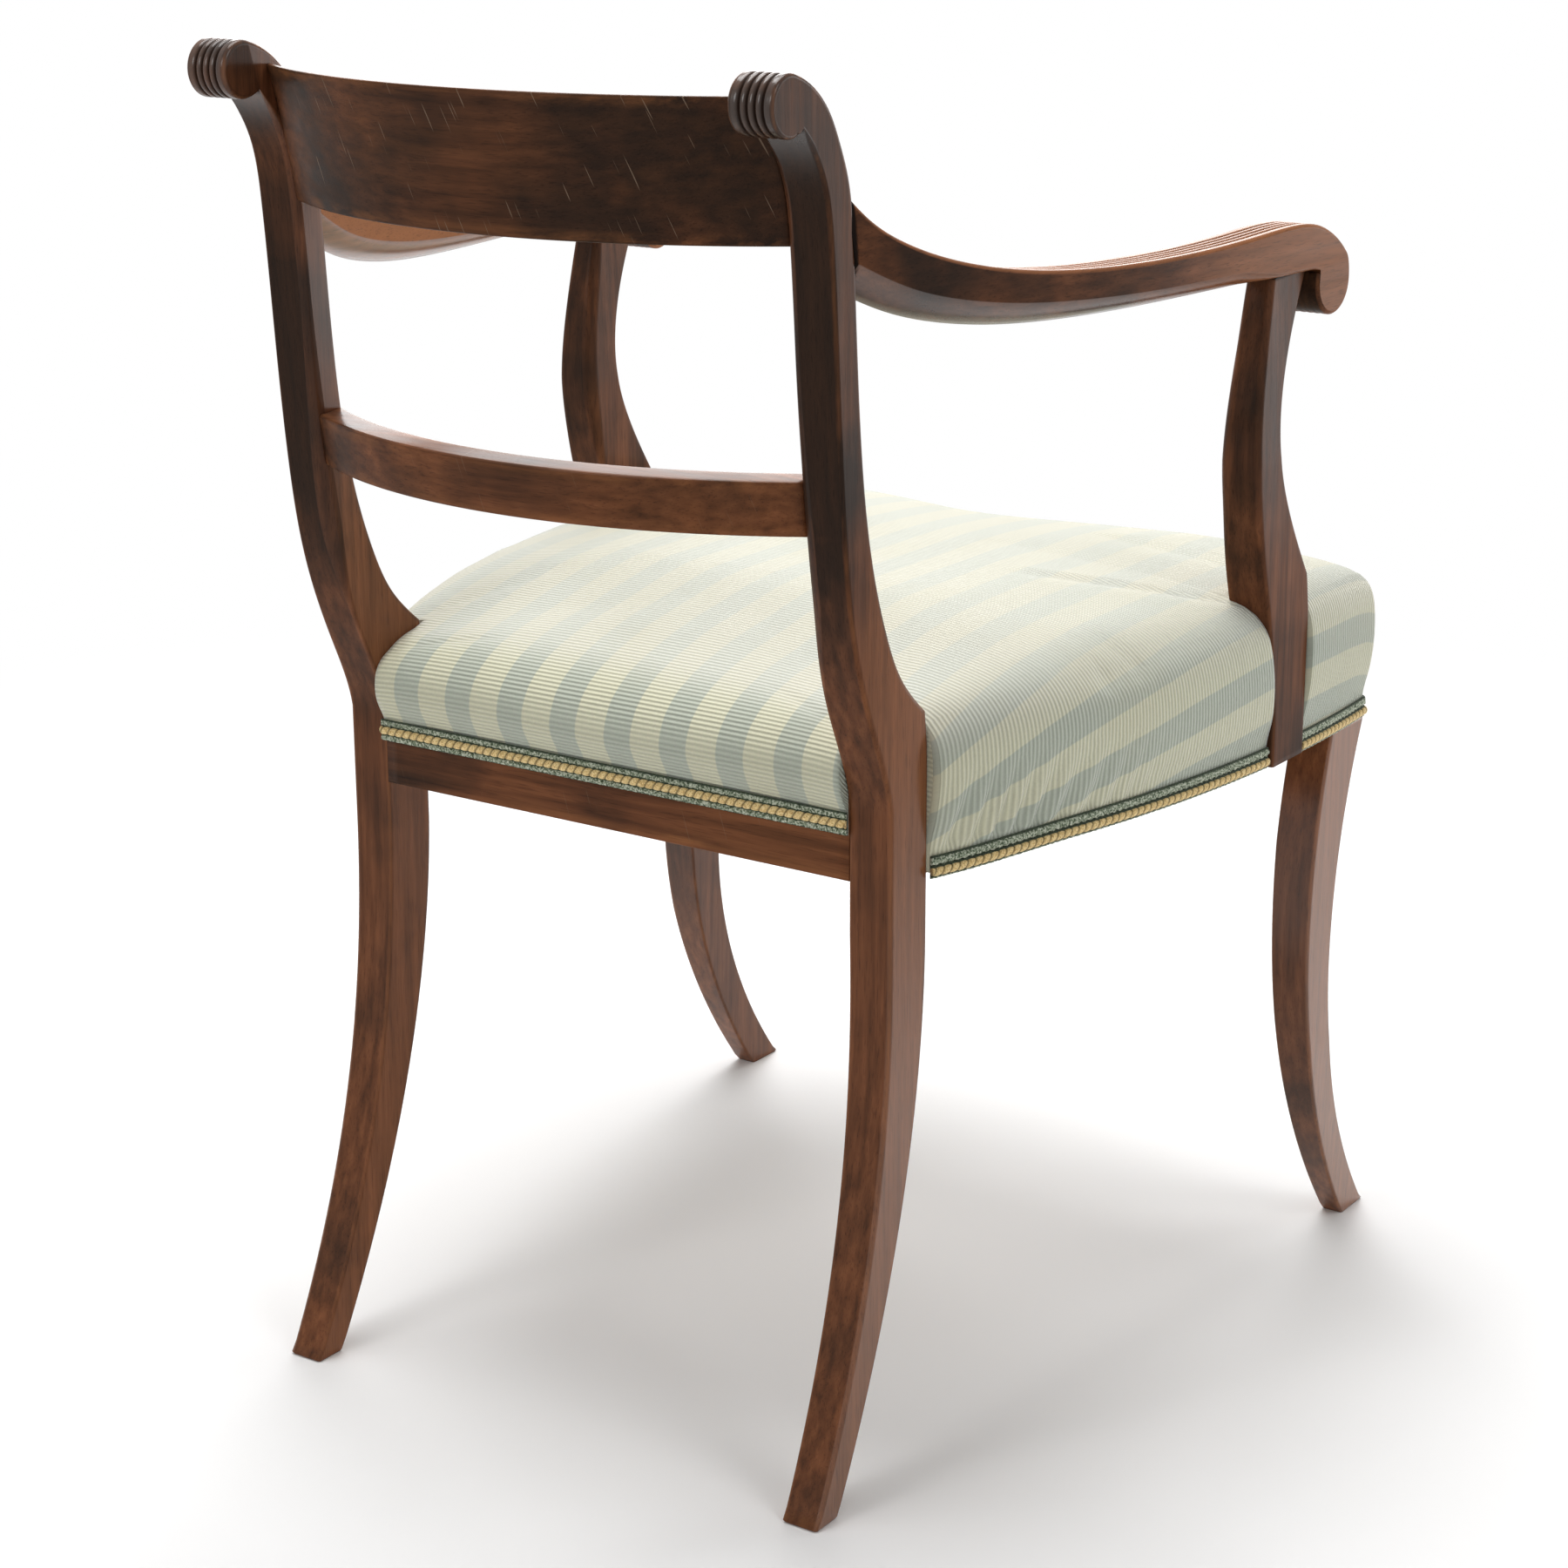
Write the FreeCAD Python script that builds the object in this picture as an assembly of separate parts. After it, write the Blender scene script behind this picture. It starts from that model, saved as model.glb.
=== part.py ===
import FreeCAD, Part
import math
import os

os.makedirs("parts", exist_ok=True)
V = FreeCAD.Vector

# Carver chair, in millimetres. +Z is up, the chair faces -Y, and the origin is on the floor at the
# middle of the plan. Left is the sitter's left, on +X. Right-hand pieces mirror the left ones in X.

# Fits
joint_gap = 0.15          # round every tenon in its mortise
mortise_end_gap = 1.0     # beyond the end of a tenon
soft_gap = 0.3            # between a soft piece and what it lies on
pilot_gap = 0.1           # round screws and tacks in their holes

# Seat frame
seat_rail_bottom = 378.0
seat_rail_height = 58.0
back_rail_thick = 26.0
front_rail_thick = 24.0
side_rail_thick = 26.0
side_rail_bow = 20.0      # outward rise of the side rail over its chord
side_rail_inset = 1.5     # step from the legs' outer faces to the side rail

# Rear leg and stile, one piece
rear_outer_x = 206.0      # half the width over the rear legs
rear_leg_width = 29.5
rear_foot_width = 25.0
rear_foot_splay = 3.0     # outward spread of the foot
rear_foot_depth = 23.3
rear_block_back = 212.0   # back face of the leg at the seat
rear_block_depth = 39.0
rear_kick = 81.5          # sweep of the foot behind the block
rear_knee_drop = 33.0     # from the rail's bottom to the start of the sweep
rear_back_power = 2.2
rear_front_power = 1.9
stile_base_rise = 47.0    # from the rail's bottom to where the stile's back leaves the block
stile_kink_rise = 100.0   # from the rail's bottom to the shoulder on the stile's front
stile_kink_ease = 23.0    # height of the sloping shoulder under the kink
stile_kink_step = 3.0
scroll_radius = 17.0
scroll_rise = 408.0       # from the stile's base to the middle of the scroll
scroll_reach = 100.0      # from the block's back to the middle of the scroll
scroll_join_angle = 110.0
scroll_notch_angle = 225.0

# Crest and mid rail, bowed backwards
crest_height = 81.0
crest_top_lift = 2.0      # top edge above the middle of the stiles' scrolls
crest_thick = 16.5
crest_top_thick = 4.0
crest_inset = 1.7         # lower back edge in front of the stile's back, at its ends
crest_lean = 17.5
crest_bow = 57.0
mid_place = 0.408         # bottom edge, as a share of the way up the stile
mid_height = 32.0
mid_thick = 17.0
mid_inset = 3.65          # back in front of the stile's back, at its ends
mid_lean = 4.0
mid_bow = 50.0
back_tenon_length = 15.0
back_tenon_thick = 8.0
crest_tenon_height = 36.0
mid_tenon_height = 20.0

# Front leg
front_outer_x = 273.0
front_leg_width = 30.0
front_leg_front = -280.0  # front face at the seat
front_leg_depth = 49.0
front_waist_front = -244.0
front_waist_front_z = 212.0
front_waist_back = -208.0
front_waist_back_z = 235.0
front_toe = -329.0
front_heel = -296.0
front_sweep_power = 2.05
front_foot_width = 16.0
front_foot_inset = 5.5    # outer face drawn in at the foot
front_taper_top = 300.0
front_arris = 5.0         # rounded outer corner under the cover

# Seat rail tenons
rail_tenon_length = 18.0
rail_tenon_thick = 9.0
rail_tenon_height = 38.0
back_tenon_set_in = 13.0  # middle of the back rail's tenon from the block's back
side_tenon_set_in = 16.0  # middle of the side rail's tenon from the leg's outer face
front_tenon_set_in = 14.0 # middle of the front rail's tenon from the leg's front

# Arm
arm_width = 28.0
arm_plan_mid_y = 80.0
arm_plan_mid_x = 250.0
arm_front_x = 281.0
arm_thick = 28.0
arm_drop = 110.0          # lowest part of the arm's top edge below the middle of the stile's scroll
arm_back_climb = 63.0     # rise of the top edge at the stile
arm_front_climb = 5.0
arm_scroll_radius = 21.5
arm_scroll_y = -187.0
arm_scroll_drop = 35.0    # scroll's middle below the arm's lowest top
arm_scroll_join_angle = 65.0
arm_notch_angle = 155.0
arm_tenon_length = 12.0
arm_tenon_thick = 9.0
arm_tenon_height = 26.0

# Arm support
support_width = 29.0
support_head_width = 19.0
support_outer_x = 277.0
support_foot_back = -134.0
support_foot_depth = 44.0
support_waist_back = -98.0
support_waist_depth = 32.0
support_waist_rise = 205.0
support_head_back = -117.0
support_head_depth = 43.0
support_kink_rise = 122.0
support_lap = 17.0        # thickness left where it laps the rail
support_tenon = 11.0
support_tenon_length = 11.0

# Corner blocks and screws
block_leg_front = 62.0
block_leg_side = 66.0
block_height = 40.0
screw_head_radius = 4.5
screw_head_height = 2.8
screw_shank_radius = 2.2
screw_length = 30.0
screw_bite = 15.0         # depth of the screw in the rail

# Seat upholstery
webbing_width = 48.0
webbing_thick = 2.0
webbing_overlap = 20.0    # length of webbing lying on a rail
web_long_count = 5
web_long_pitch = 66.0
web_cross_places = (-215.0, -60.0, 30.0, 110.0)
hessian_thick = 1.0
hessian_inset = 8.0
cover_thick = 2.0
cover_bulge = 6.0         # side padding
seat_crown = 67.0         # from the rails' top to the crown
cover_corner = 3.0
gimp_height = 14.5
gimp_thick = 2.5
gimp_drop = 0.7           # hang of the side and front gimp under the rail
gimp_back_rise = 29.0     # show wood left under the rear gimp
tack_head_radius = 2.6
tack_head_height = 0.8
tack_shank_radius = 0.7
tack_length = 9.0
tack_end_margin = 9.0
tack_pitch = 62.0

# Places that follow from the sizes above
rail_top = seat_rail_bottom + seat_rail_height
rear_inner_x = rear_outer_x - rear_leg_width
rear_block_front = rear_block_back - rear_block_depth
rear_knee = seat_rail_bottom - rear_knee_drop
stile_base = seat_rail_bottom + stile_base_rise
scroll_z = stile_base + scroll_rise
scroll_y = rear_block_back + scroll_reach
front_inner_x = front_outer_x - front_leg_width
front_leg_back = front_leg_front + front_leg_depth
cover_off = soft_gap + cover_thick
gimp_off = cover_off + tack_head_height + 0.2
tack_z_side = seat_rail_bottom + gimp_height / 2 - gimp_drop / 2
tack_z_back = seat_rail_bottom + gimp_back_rise + gimp_height / 2


def line(a, b):
    return Part.LineSegment(a, b).toShape()


def arc(a, b, c):
    return Part.Arc(a, b, c).toShape()


def curve(points, start=None, end=None):
    spline = Part.BSplineCurve()
    free = [V(0, 0, 1)] * (len(points) - 2)
    flags = [start is not None] + [False] * len(free) + [end is not None]
    if any(flags):
        tangents = [start or V(0, 0, 1)] + free + [end or V(0, 0, 1)]
        spline.interpolate(Points=points, Tangents=tangents, TangentFlags=flags)
    else:
        spline.interpolate(points)
    return spline.toShape()


def prism(edges, along):
    return Part.Face(Part.Wire(edges)).extrude(along)


def box(x0, x1, y0, y1, z0, z1):
    return Part.makeBox(x1 - x0, y1 - y0, z1 - z0, V(x0, y0, z0))


def mirrored(shape):
    return shape.mirror(V(0, 0, 0), V(1, 0, 0))


def polygon_prism(corners, along):
    return Part.Face(Part.makePolygon(corners + corners[:1])).extrude(along)


def one_solid(shape):
    return max(shape.Solids, key=lambda solid: solid.Volume)


def save(name, shape):
    solids = shape.Solids
    result = solids[0] if len(solids) == 1 else Part.makeCompound(solids)
    result = result.translated(V(0, -plan_middle, 0))
    result.exportStep("parts/" + name + ".step")
    low, high = result.BoundBox, result.BoundBox
    print("%-26s solids %2d valid %s volume %.0f" % (name, len(solids), result.isValid(), result.Volume),
          "y %.1f %.1f z %.1f %.1f" % (low.YMin, high.YMax, low.ZMin, high.ZMax))


# Side rail line: a circular arc from the rear block to the front leg's back
side_rear = V(rear_outer_x - side_rail_inset, rear_block_front, 0)
side_front = V(front_outer_x - side_rail_inset, front_leg_back, 0)
side_chord = side_front.sub(side_rear)
side_half = side_chord.Length / 2
side_radius = (side_half ** 2 + side_rail_bow ** 2) / (2 * side_rail_bow)
side_out = V(-side_chord.y, side_chord.x, 0).normalize()
side_centre = (side_rear + side_front) * 0.5 + side_out * (side_rail_bow - side_radius)


def side_x(y, off):
    return side_centre.x + math.sqrt((side_radius + off) ** 2 - (y - side_centre.y) ** 2)


def side_normal(y):
    return V(side_x(y, 0) - side_centre.x, y - side_centre.y, 0).normalize()


def side_arc(y0, y1, off, z):
    ym = (y0 + y1) / 2
    return arc(V(side_x(y0, off), y0, z), V(side_x(ym, off), ym, z), V(side_x(y1, off), y1, z))


def side_band(y0, y1, off0, off1, z0, z1):
    edges = [side_arc(y0, y1, off1, z0),
             line(V(side_x(y1, off1), y1, z0), V(side_x(y1, off0), y1, z0)),
             side_arc(y1, y0, off0, z0),
             line(V(side_x(y0, off0), y0, z0), V(side_x(y0, off1), y0, z0))]
    return prism(edges, V(0, 0, z1 - z0))


# Rear leg: the sweep of each edge below the knee is a power of the height
def rear_sweep(block_y, reach, power):
    steps = [i / 6 for i in range(7)]
    return [V(0, block_y + reach * (1 - s) ** power, rear_knee * s) for s in steps]


def stile_point(rise, reach):
    return V(0, rear_block_back + reach * scroll_reach, stile_base + rise * scroll_rise)


def on_scroll(angle):
    a = math.radians(angle)
    return V(0, scroll_y + scroll_radius * math.cos(a), scroll_z + scroll_radius * math.sin(a))


# Back and front edge of the stile: shares of the scroll's rise and of its reach
stile_back_line = [(0.11, 0.16), (0.245, 0.365), (0.42, 0.49), (0.625, 0.56), (0.804, 0.615), (0.897, 0.69)]
stile_front_line = [(0.983, 0.62), (0.948, 0.54), (0.895, 0.45), (0.814, 0.4), (0.645, 0.354), (0.49, 0.293),
                    (0.378, 0.208), (0.263, 0.052), (0.191, -0.106)]
kink = V(0, rear_block_front + stile_kink_step, seat_rail_bottom + stile_kink_rise)


def stile_back_y(z):
    # straight between the points of the back edge
    points = [stile_point(*p) for p in stile_back_line]
    i = max(k for k in range(len(points) - 1) if k == 0 or points[k].z <= z)
    a, b = points[i], points[i + 1]
    return a.y + (b.y - a.y) * (z - a.z) / (b.z - a.z)


def rear_leg_outline():
    back_foot = rear_sweep(rear_block_back, rear_kick, rear_back_power)
    front_reach = rear_kick + rear_block_depth - rear_foot_depth
    front_foot = rear_sweep(rear_block_front, front_reach, rear_front_power)
    base = V(0, rear_block_back, stile_base)
    ease = V(0, rear_block_front, kink.z - stile_kink_ease)
    join = math.radians(scroll_join_angle)
    back = [base] + [stile_point(*p) for p in stile_back_line] + [on_scroll(scroll_notch_angle)]
    front = [on_scroll(scroll_join_angle)] + [stile_point(*p) for p in stile_front_line] + [kink]
    return [line(front_foot[0], back_foot[0]),
            curve(back_foot),
            line(back_foot[-1], base),
            curve(back, V(0, 0, 1)),
            arc(on_scroll(scroll_notch_angle), on_scroll(330), on_scroll(scroll_join_angle)),
            curve(front, V(0, -math.sin(join), math.cos(join))),
            line(kink, ease),
            line(ease, front_foot[-1]),
            curve(list(reversed(front_foot)))]


def rear_leg_blank():
    leg = prism(rear_leg_outline(), V(rear_leg_width + rear_foot_splay, 0, 0))
    leg.translate(V(rear_inner_x, 0, 0))
    taper = rear_leg_width + rear_foot_splay - rear_foot_width
    far = V(0, scroll_y + 2 * scroll_radius + rear_kick, 0)
    inner = polygon_prism([V(rear_inner_x - 1, 0, rear_knee), V(rear_inner_x, 0, rear_knee),
                           V(rear_inner_x + taper, 0, 0), V(rear_inner_x + taper, 0, -1),
                           V(rear_inner_x - 1, 0, -1)], far)
    splayed_x = rear_outer_x + rear_foot_splay
    top = scroll_z + 2 * scroll_radius
    outer = polygon_prism([V(splayed_x, 0, 0), V(rear_outer_x, 0, rear_knee), V(rear_outer_x, 0, top),
                           V(splayed_x + 1, 0, top), V(splayed_x + 1, 0, 0)], far)
    return leg.cut(inner).cut(outer)


# Front leg: each edge is a power of the height below its waist and a parabola above it
def front_edge(waist_y, waist_z, foot_y, top_y):
    low = [V(0, waist_y + (foot_y - waist_y) * (1 - s / 5) ** front_sweep_power, waist_z * s / 5)
           for s in range(6)]
    span = seat_rail_bottom - waist_z
    high = [V(0, waist_y + (top_y - waist_y) * (s / 3) ** 2, waist_z + span * s / 3) for s in range(1, 4)]
    return low + high


def front_leg_blank():
    front = front_edge(front_waist_front, front_waist_front_z, front_toe, front_leg_front)
    back = front_edge(front_waist_back, front_waist_back_z, front_heel, front_leg_back)
    top_front = V(0, front_leg_front, rail_top)
    top_back = V(0, front_leg_back, rail_top)
    edges = [line(front[0], back[0]), curve(back), line(back[-1], top_back), line(top_back, top_front),
             line(top_front, front[-1]), curve(list(reversed(front)))]
    leg = prism(edges, V(front_leg_width, 0, 0))
    leg.translate(V(front_inner_x, 0, 0))
    reach = V(0, front_waist_back - front_toe + front_leg_depth, 0)
    inner_foot = front_outer_x - front_foot_inset - front_foot_width
    inner = polygon_prism([V(front_inner_x - 1, front_toe - 1, front_taper_top),
                           V(front_inner_x, front_toe - 1, front_taper_top),
                           V(inner_foot, front_toe - 1, 0), V(inner_foot, front_toe - 1, -1),
                           V(front_inner_x - 1, front_toe - 1, -1)], reach)
    outer_foot = front_outer_x - front_foot_inset
    outer = polygon_prism([V(front_outer_x + 1, front_toe - 1, front_taper_top / 2),
                           V(front_outer_x, front_toe - 1, front_taper_top / 2),
                           V(outer_foot, front_toe - 1, 0), V(outer_foot, front_toe - 1, -1),
                           V(front_outer_x + 1, front_toe - 1, -1)], reach)
    leg = leg.cut(inner).cut(outer)
    arris = [e for e in leg.Edges
             if abs(e.CenterOfMass.x - front_outer_x) < 0.1 and abs(e.CenterOfMass.y - front_leg_front) < 0.1
             and e.CenterOfMass.z > seat_rail_bottom]
    return leg.makeFillet(front_arris, arris)


# Bowed rails of the back: an upright section turned about the middle of its bow
def bow_radius(bow):
    return (rear_inner_x ** 2 + bow ** 2) / (2 * bow)


def bowed_rail(section, back_y, bow):
    radius = bow_radius(bow)
    axis = V(0, back_y + bow - radius, 0)
    turn = 2 * math.degrees(math.asin(rear_inner_x / (radius - 1.6 * crest_thick)))
    face = Part.Face(Part.Wire(section))
    face.rotate(axis, V(0, 0, 1), -turn / 2)
    ring = face.revolve(axis, V(0, 0, 1), turn)
    return ring.common(box(-rear_inner_x, rear_inner_x, axis.y, back_y + 4 * bow, 0, 2 * scroll_z))


crest_low = scroll_z + crest_top_lift - crest_height
crest_back_y = stile_back_y(crest_low) - crest_inset
mid_low = stile_base + mid_place * scroll_rise
mid_back_y = stile_back_y(mid_low) - mid_inset

# Pieces are drawn about the seat and saved about the plan's middle
plan_back = max(crest_back_y + crest_lean + crest_bow, scroll_y + scroll_radius)
plan_middle = (plan_back + front_toe) / 2


def crest_section():
    # the front follows the roll of the stiles, so the section thins towards its top edge
    y = crest_back_y + crest_bow
    back = [V(0, y + crest_lean * b, crest_low + crest_height * a)
            for a, b in ((0, 0), (0.44, 0.37), (0.75, 0.7), (1, 1))]
    thick = ((1, crest_top_thick / crest_thick), (0.88, 0.62), (0.7, 0.88), (0.44, 1.03), (0, 1))
    lean = ((1, 1), (0.88, 0.85), (0.7, 0.64), (0.44, 0.37), (0, 0))
    front = [V(0, y + crest_lean * b[1] - crest_thick * t[1], crest_low + crest_height * t[0])
             for t, b in zip(thick, lean)]
    return [curve(back), line(back[-1], front[0]), curve(front), line(front[-1], back[0])]


def mid_section():
    # leans back with the stiles, so its top edge is higher in front
    y = mid_back_y + mid_bow
    rise = mid_thick * mid_lean / mid_height
    corners = [V(0, y, mid_low), V(0, y + mid_lean, mid_low + mid_height),
               V(0, y + mid_lean - mid_thick, mid_low + mid_height + rise), V(0, y - mid_thick, mid_low + rise)]
    return [line(corners[i], corners[(i + 1) % 4]) for i in range(4)]


def end_tenon(back_y, low_z, lean, thick, bow, span, gap):
    # leans with the rail; the section is cut on a slant at the end, so it is thicker there
    radius = bow_radius(bow)
    middle = thick * radius / math.sqrt(radius ** 2 - rear_inner_x ** 2) / 2
    half = back_tenon_thick / 2 + gap
    low, high = span[0] - gap, span[1] + gap
    y_low = back_y - middle + lean * low
    y_high = back_y - middle + lean * high
    length = back_tenon_length + (mortise_end_gap if gap else 0)
    return polygon_prism([V(rear_inner_x, y_low - half, low_z + low), V(rear_inner_x, y_low + half, low_z + low),
                          V(rear_inner_x, y_high + half, low_z + high), V(rear_inner_x, y_high - half, low_z + high)],
                         V(length, 0, 0))


def crest_end_tenon(gap):
    return end_tenon(crest_back_y, crest_low, 0.37 * crest_lean / (0.44 * crest_height), crest_thick, crest_bow,
                     crest_tenon_span, gap)


def mid_end_tenon(gap):
    return end_tenon(mid_back_y, mid_low, mid_lean / mid_height, mid_thick, mid_bow, mid_tenon_span, gap)


crest_tenon_span = (8.0, 8.0 + crest_tenon_height)
mid_tenon_span = ((mid_height - mid_tenon_height) / 2, (mid_height + mid_tenon_height) / 2)


# Seat rail tenons, left side
tenon_low = seat_rail_bottom + (seat_rail_height - rail_tenon_height) / 2
tenon_high = tenon_low + rail_tenon_height


def back_rail_tenon(gap):
    middle = rear_block_back - back_tenon_set_in
    half = rail_tenon_thick / 2 + gap
    length = rail_tenon_length + (mortise_end_gap if gap else 0)
    return box(rear_inner_x, rear_inner_x + length, middle - half, middle + half, tenon_low - gap, tenon_high + gap)


def side_rail_rear_tenon(gap):
    middle = rear_outer_x - side_tenon_set_in
    half = rail_tenon_thick / 2 + gap
    length = rail_tenon_length + (mortise_end_gap if gap else 0)
    return box(middle - half, middle + half, rear_block_front, rear_block_front + length,
               tenon_low - gap, tenon_high + gap)


def side_rail_front_tenon(gap):
    middle = front_outer_x - side_tenon_set_in
    half = rail_tenon_thick / 2 + gap
    length = rail_tenon_length + (mortise_end_gap if gap else 0)
    return box(middle - half, middle + half, front_leg_back - length, front_leg_back,
               tenon_low - gap, tenon_high + gap)


def front_rail_tenon(gap):
    middle = front_leg_front + front_tenon_set_in
    half = rail_tenon_thick / 2 + gap
    length = rail_tenon_length + (mortise_end_gap if gap else 0)
    return box(front_inner_x, front_inner_x + length, middle - half, middle + half, tenon_low - gap, tenon_high + gap)


# Arm: side outline and plan outline cut into each other, then fitted to the stile
arm_low_z = scroll_z - arm_drop
arm_scroll_z = arm_low_z - arm_scroll_drop
arm_back_y = stile_point(0.895, 0.49).y
arm_back_z = arm_low_z + arm_back_climb
arm_under_z = arm_low_z - arm_thick + 3


def on_arm_scroll(angle):
    a = math.radians(angle)
    return V(0, arm_scroll_y - arm_scroll_radius * math.cos(a), arm_scroll_z + arm_scroll_radius * math.sin(a))


def arm_side_prism():
    low = arm_low_z
    top = [V(0, arm_back_y, arm_back_z)]
    top += [V(0, arm_back_y * a, low + arm_back_climb * b)
            for a, b in ((0.915, 0.68), (0.82, 0.46), (0.62, 0.2), (0.31, 0.03), (0.11, 0.0))]
    top += [V(0, 0.49 * arm_scroll_y, low + 0.6 * arm_front_climb)]
    top += [V(0, 0.727 * arm_scroll_y, low + arm_front_climb)]
    top += [V(0, 0.855 * arm_scroll_y, low + 0.4 * arm_front_climb)]
    top += [on_arm_scroll(arm_scroll_join_angle)]
    join = math.radians(arm_scroll_join_angle)
    under = arm_under_z
    notch = on_arm_scroll(arm_notch_angle)
    bottom = [notch, V(0, support_head_back - support_head_depth, under), V(0, support_head_back, under)]
    rear = [bottom[-1]]
    rear += [V(0, 0.16 * arm_scroll_y, under - 1), V(0, 0.31 * arm_back_y, under - 2), V(0, 0.52 * arm_back_y, under + 0.5),
             V(0, 0.68 * arm_back_y, under + 6), V(0, 0.83 * arm_back_y, under + 16),
             V(0, arm_back_y, under + 36)]
    edges = [curve(top, None, V(0, -math.sin(join), -math.cos(join))),
             arc(on_arm_scroll(arm_scroll_join_angle), on_arm_scroll(-30), notch),
             line(bottom[0], bottom[1]),
             line(bottom[1], bottom[2]),
             curve(rear),
             line(rear[-1], top[0])]
    return prism(edges, V(arm_front_x + arm_width, 0, 0))


def arm_plan_prism():
    front_y = arm_scroll_y - arm_scroll_radius - 1
    def side(inset):
        return [V(rear_outer_x - inset, arm_back_y + 1, 0), V(arm_plan_mid_x - inset, arm_plan_mid_y, 0),
                V(arm_front_x - inset, front_y, 0)]
    outer = side(0)
    inner = side(arm_width)
    edges = [arc(*outer), line(outer[-1], inner[-1]), arc(*reversed(inner)), line(inner[0], outer[0])]
    return prism(edges, V(0, 0, arm_back_z + 10))


def arm_tenon(gap):
    middle_x = rear_outer_x - arm_width / 2
    half = arm_tenon_thick / 2 + gap
    z0 = arm_under_z + 40
    length = arm_tenon_length + (mortise_end_gap if gap else 0)
    front_y = stile_point(0.74, 0.375).y
    return box(middle_x - half, middle_x + half, front_y - 10, front_y + length,
               z0 - gap, z0 + arm_tenon_height + gap)


# Arm support: waisted above the rail, lapped over the rail's outer face below its shoulder
support_inner_x = support_outer_x - support_width
support_lap_x = support_outer_x - support_lap
support_top = arm_under_z


def support_outline(grow):
    foot_back = support_foot_back + grow
    foot_front = support_foot_back - support_foot_depth - grow
    waist_z = seat_rail_bottom + support_waist_rise
    kink_z = seat_rail_bottom + support_kink_rise
    span = support_top - waist_z
    waist_back = support_waist_back + grow
    waist_front = support_waist_back - support_waist_depth - grow
    head_back = support_head_back + grow
    head_front = support_head_back - support_head_depth - grow
    lean = waist_back - foot_back
    swell = (foot_back - foot_front) - (waist_back - waist_front)
    back = [V(0, foot_back, kink_z - 0.75 * support_kink_rise),
            V(0, foot_back + 0.39 * lean, kink_z - 0.115 * support_kink_rise),
            V(0, waist_back - 0.3 * lean, 0.72 * kink_z + 0.28 * waist_z), V(0, waist_back, waist_z),
            V(0, waist_back - 0.167 * lean, waist_z + 0.5 * span), V(0, head_back, support_top)]
    front = [V(0, head_front, support_top), V(0, waist_front - 0.25 * lean, waist_z + 0.6 * span),
             V(0, waist_front, waist_z), V(0, waist_front - 0.36 * lean, 0.41 * kink_z + 0.59 * waist_z),
             V(0, foot_front + 0.33 * swell, kink_z)]
    low_back = V(0, foot_back, seat_rail_bottom)
    low_front = V(0, foot_front, seat_rail_bottom)
    ease = V(0, foot_front, kink_z - 0.2 * support_kink_rise)
    return [line(low_front, low_back), line(low_back, back[0]), curve(back), line(back[-1], front[0]),
            curve(front), line(front[-1], ease), line(ease, low_front)]


def support_prism(x0, x1, grow):
    shape = prism(support_outline(grow), V(x1 - x0, 0, 0))
    shape.translate(V(x0, 0, 0))
    return shape


def support_head_tenon(gap):
    middle_y = support_head_back - support_head_depth / 2
    middle_x = support_outer_x - support_width / 2
    half = support_tenon / 2 + gap
    length = support_tenon_length + (mortise_end_gap if gap else 0)
    return box(middle_x - half, middle_x + half, middle_y - half, middle_y + half, support_top, support_top + length)


# Screws: a head and a shank along a direction, with their clearance holes
def screw(seat, direction, length):
    head = Part.makeCone(screw_head_radius, screw_head_radius * 0.8, screw_head_height,
                         seat, direction * -1)
    return head.fuse(Part.makeCylinder(screw_shank_radius, length, seat, direction))


def screw_hole(seat, direction, length, open_length):
    wide = Part.makeCylinder(screw_head_radius + pilot_gap, open_length, seat, direction * -1)
    narrow = Part.makeCylinder(screw_shank_radius + pilot_gap, length + mortise_end_gap, seat, direction)
    return wide.fuse(narrow)


# Tacks: the same, with a flat head that stands on the surface
def tack(seat, direction):
    head = Part.makeCylinder(tack_head_radius, tack_head_height, seat, direction * -1)
    return head.fuse(Part.makeCylinder(tack_shank_radius, tack_length, seat, direction))


def tack_hole(seat, direction):
    return Part.makeCylinder(tack_shank_radius + pilot_gap, tack_length + mortise_end_gap + cover_thick,
                             seat - direction * cover_thick, direction)


# Plan outline of the seat, a step outside the rails
def seat_outline(off, rear_off, z):
    rear = rear_block_back + rear_off
    front = front_leg_front - off
    radius = cover_corner + max(off, 0) + 0.4 * max(-off, 0)
    rear_radius = 2.0 + 0.4 * max(-off, 0)
    y_front = front + radius
    y_rear = rear - rear_radius
    x_front = side_x(y_front, off)
    x_rear = side_x(y_rear, off)
    slope = 1 - math.sqrt(0.5)

    def half(sign):
        f0 = V(sign * x_front, y_front, z)
        f1 = V(sign * (x_front - radius), front, z)
        fm = V(sign * (x_front - radius * slope), front + radius * slope, z)
        r0 = V(sign * (x_rear - rear_radius), rear, z)
        r1 = V(sign * x_rear, y_rear, z)
        rm = V(sign * (x_rear - rear_radius * slope), rear - rear_radius * slope, z)
        y_mid = (y_front + y_rear) / 2
        sm = V(sign * side_x(y_mid, off), y_mid, z)
        return r0, rm, r1, sm, f0, fm, f1
    a, b = half(1), half(-1)
    return Part.Wire([line(b[0], a[0]), arc(a[0], a[1], a[2]), arc(a[2], a[3], a[4]), arc(a[4], a[5], a[6]),
                      line(a[6], b[6]), arc(b[6], b[5], b[4]), arc(b[4], b[3], b[2]), arc(b[2], b[1], b[0])])


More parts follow.
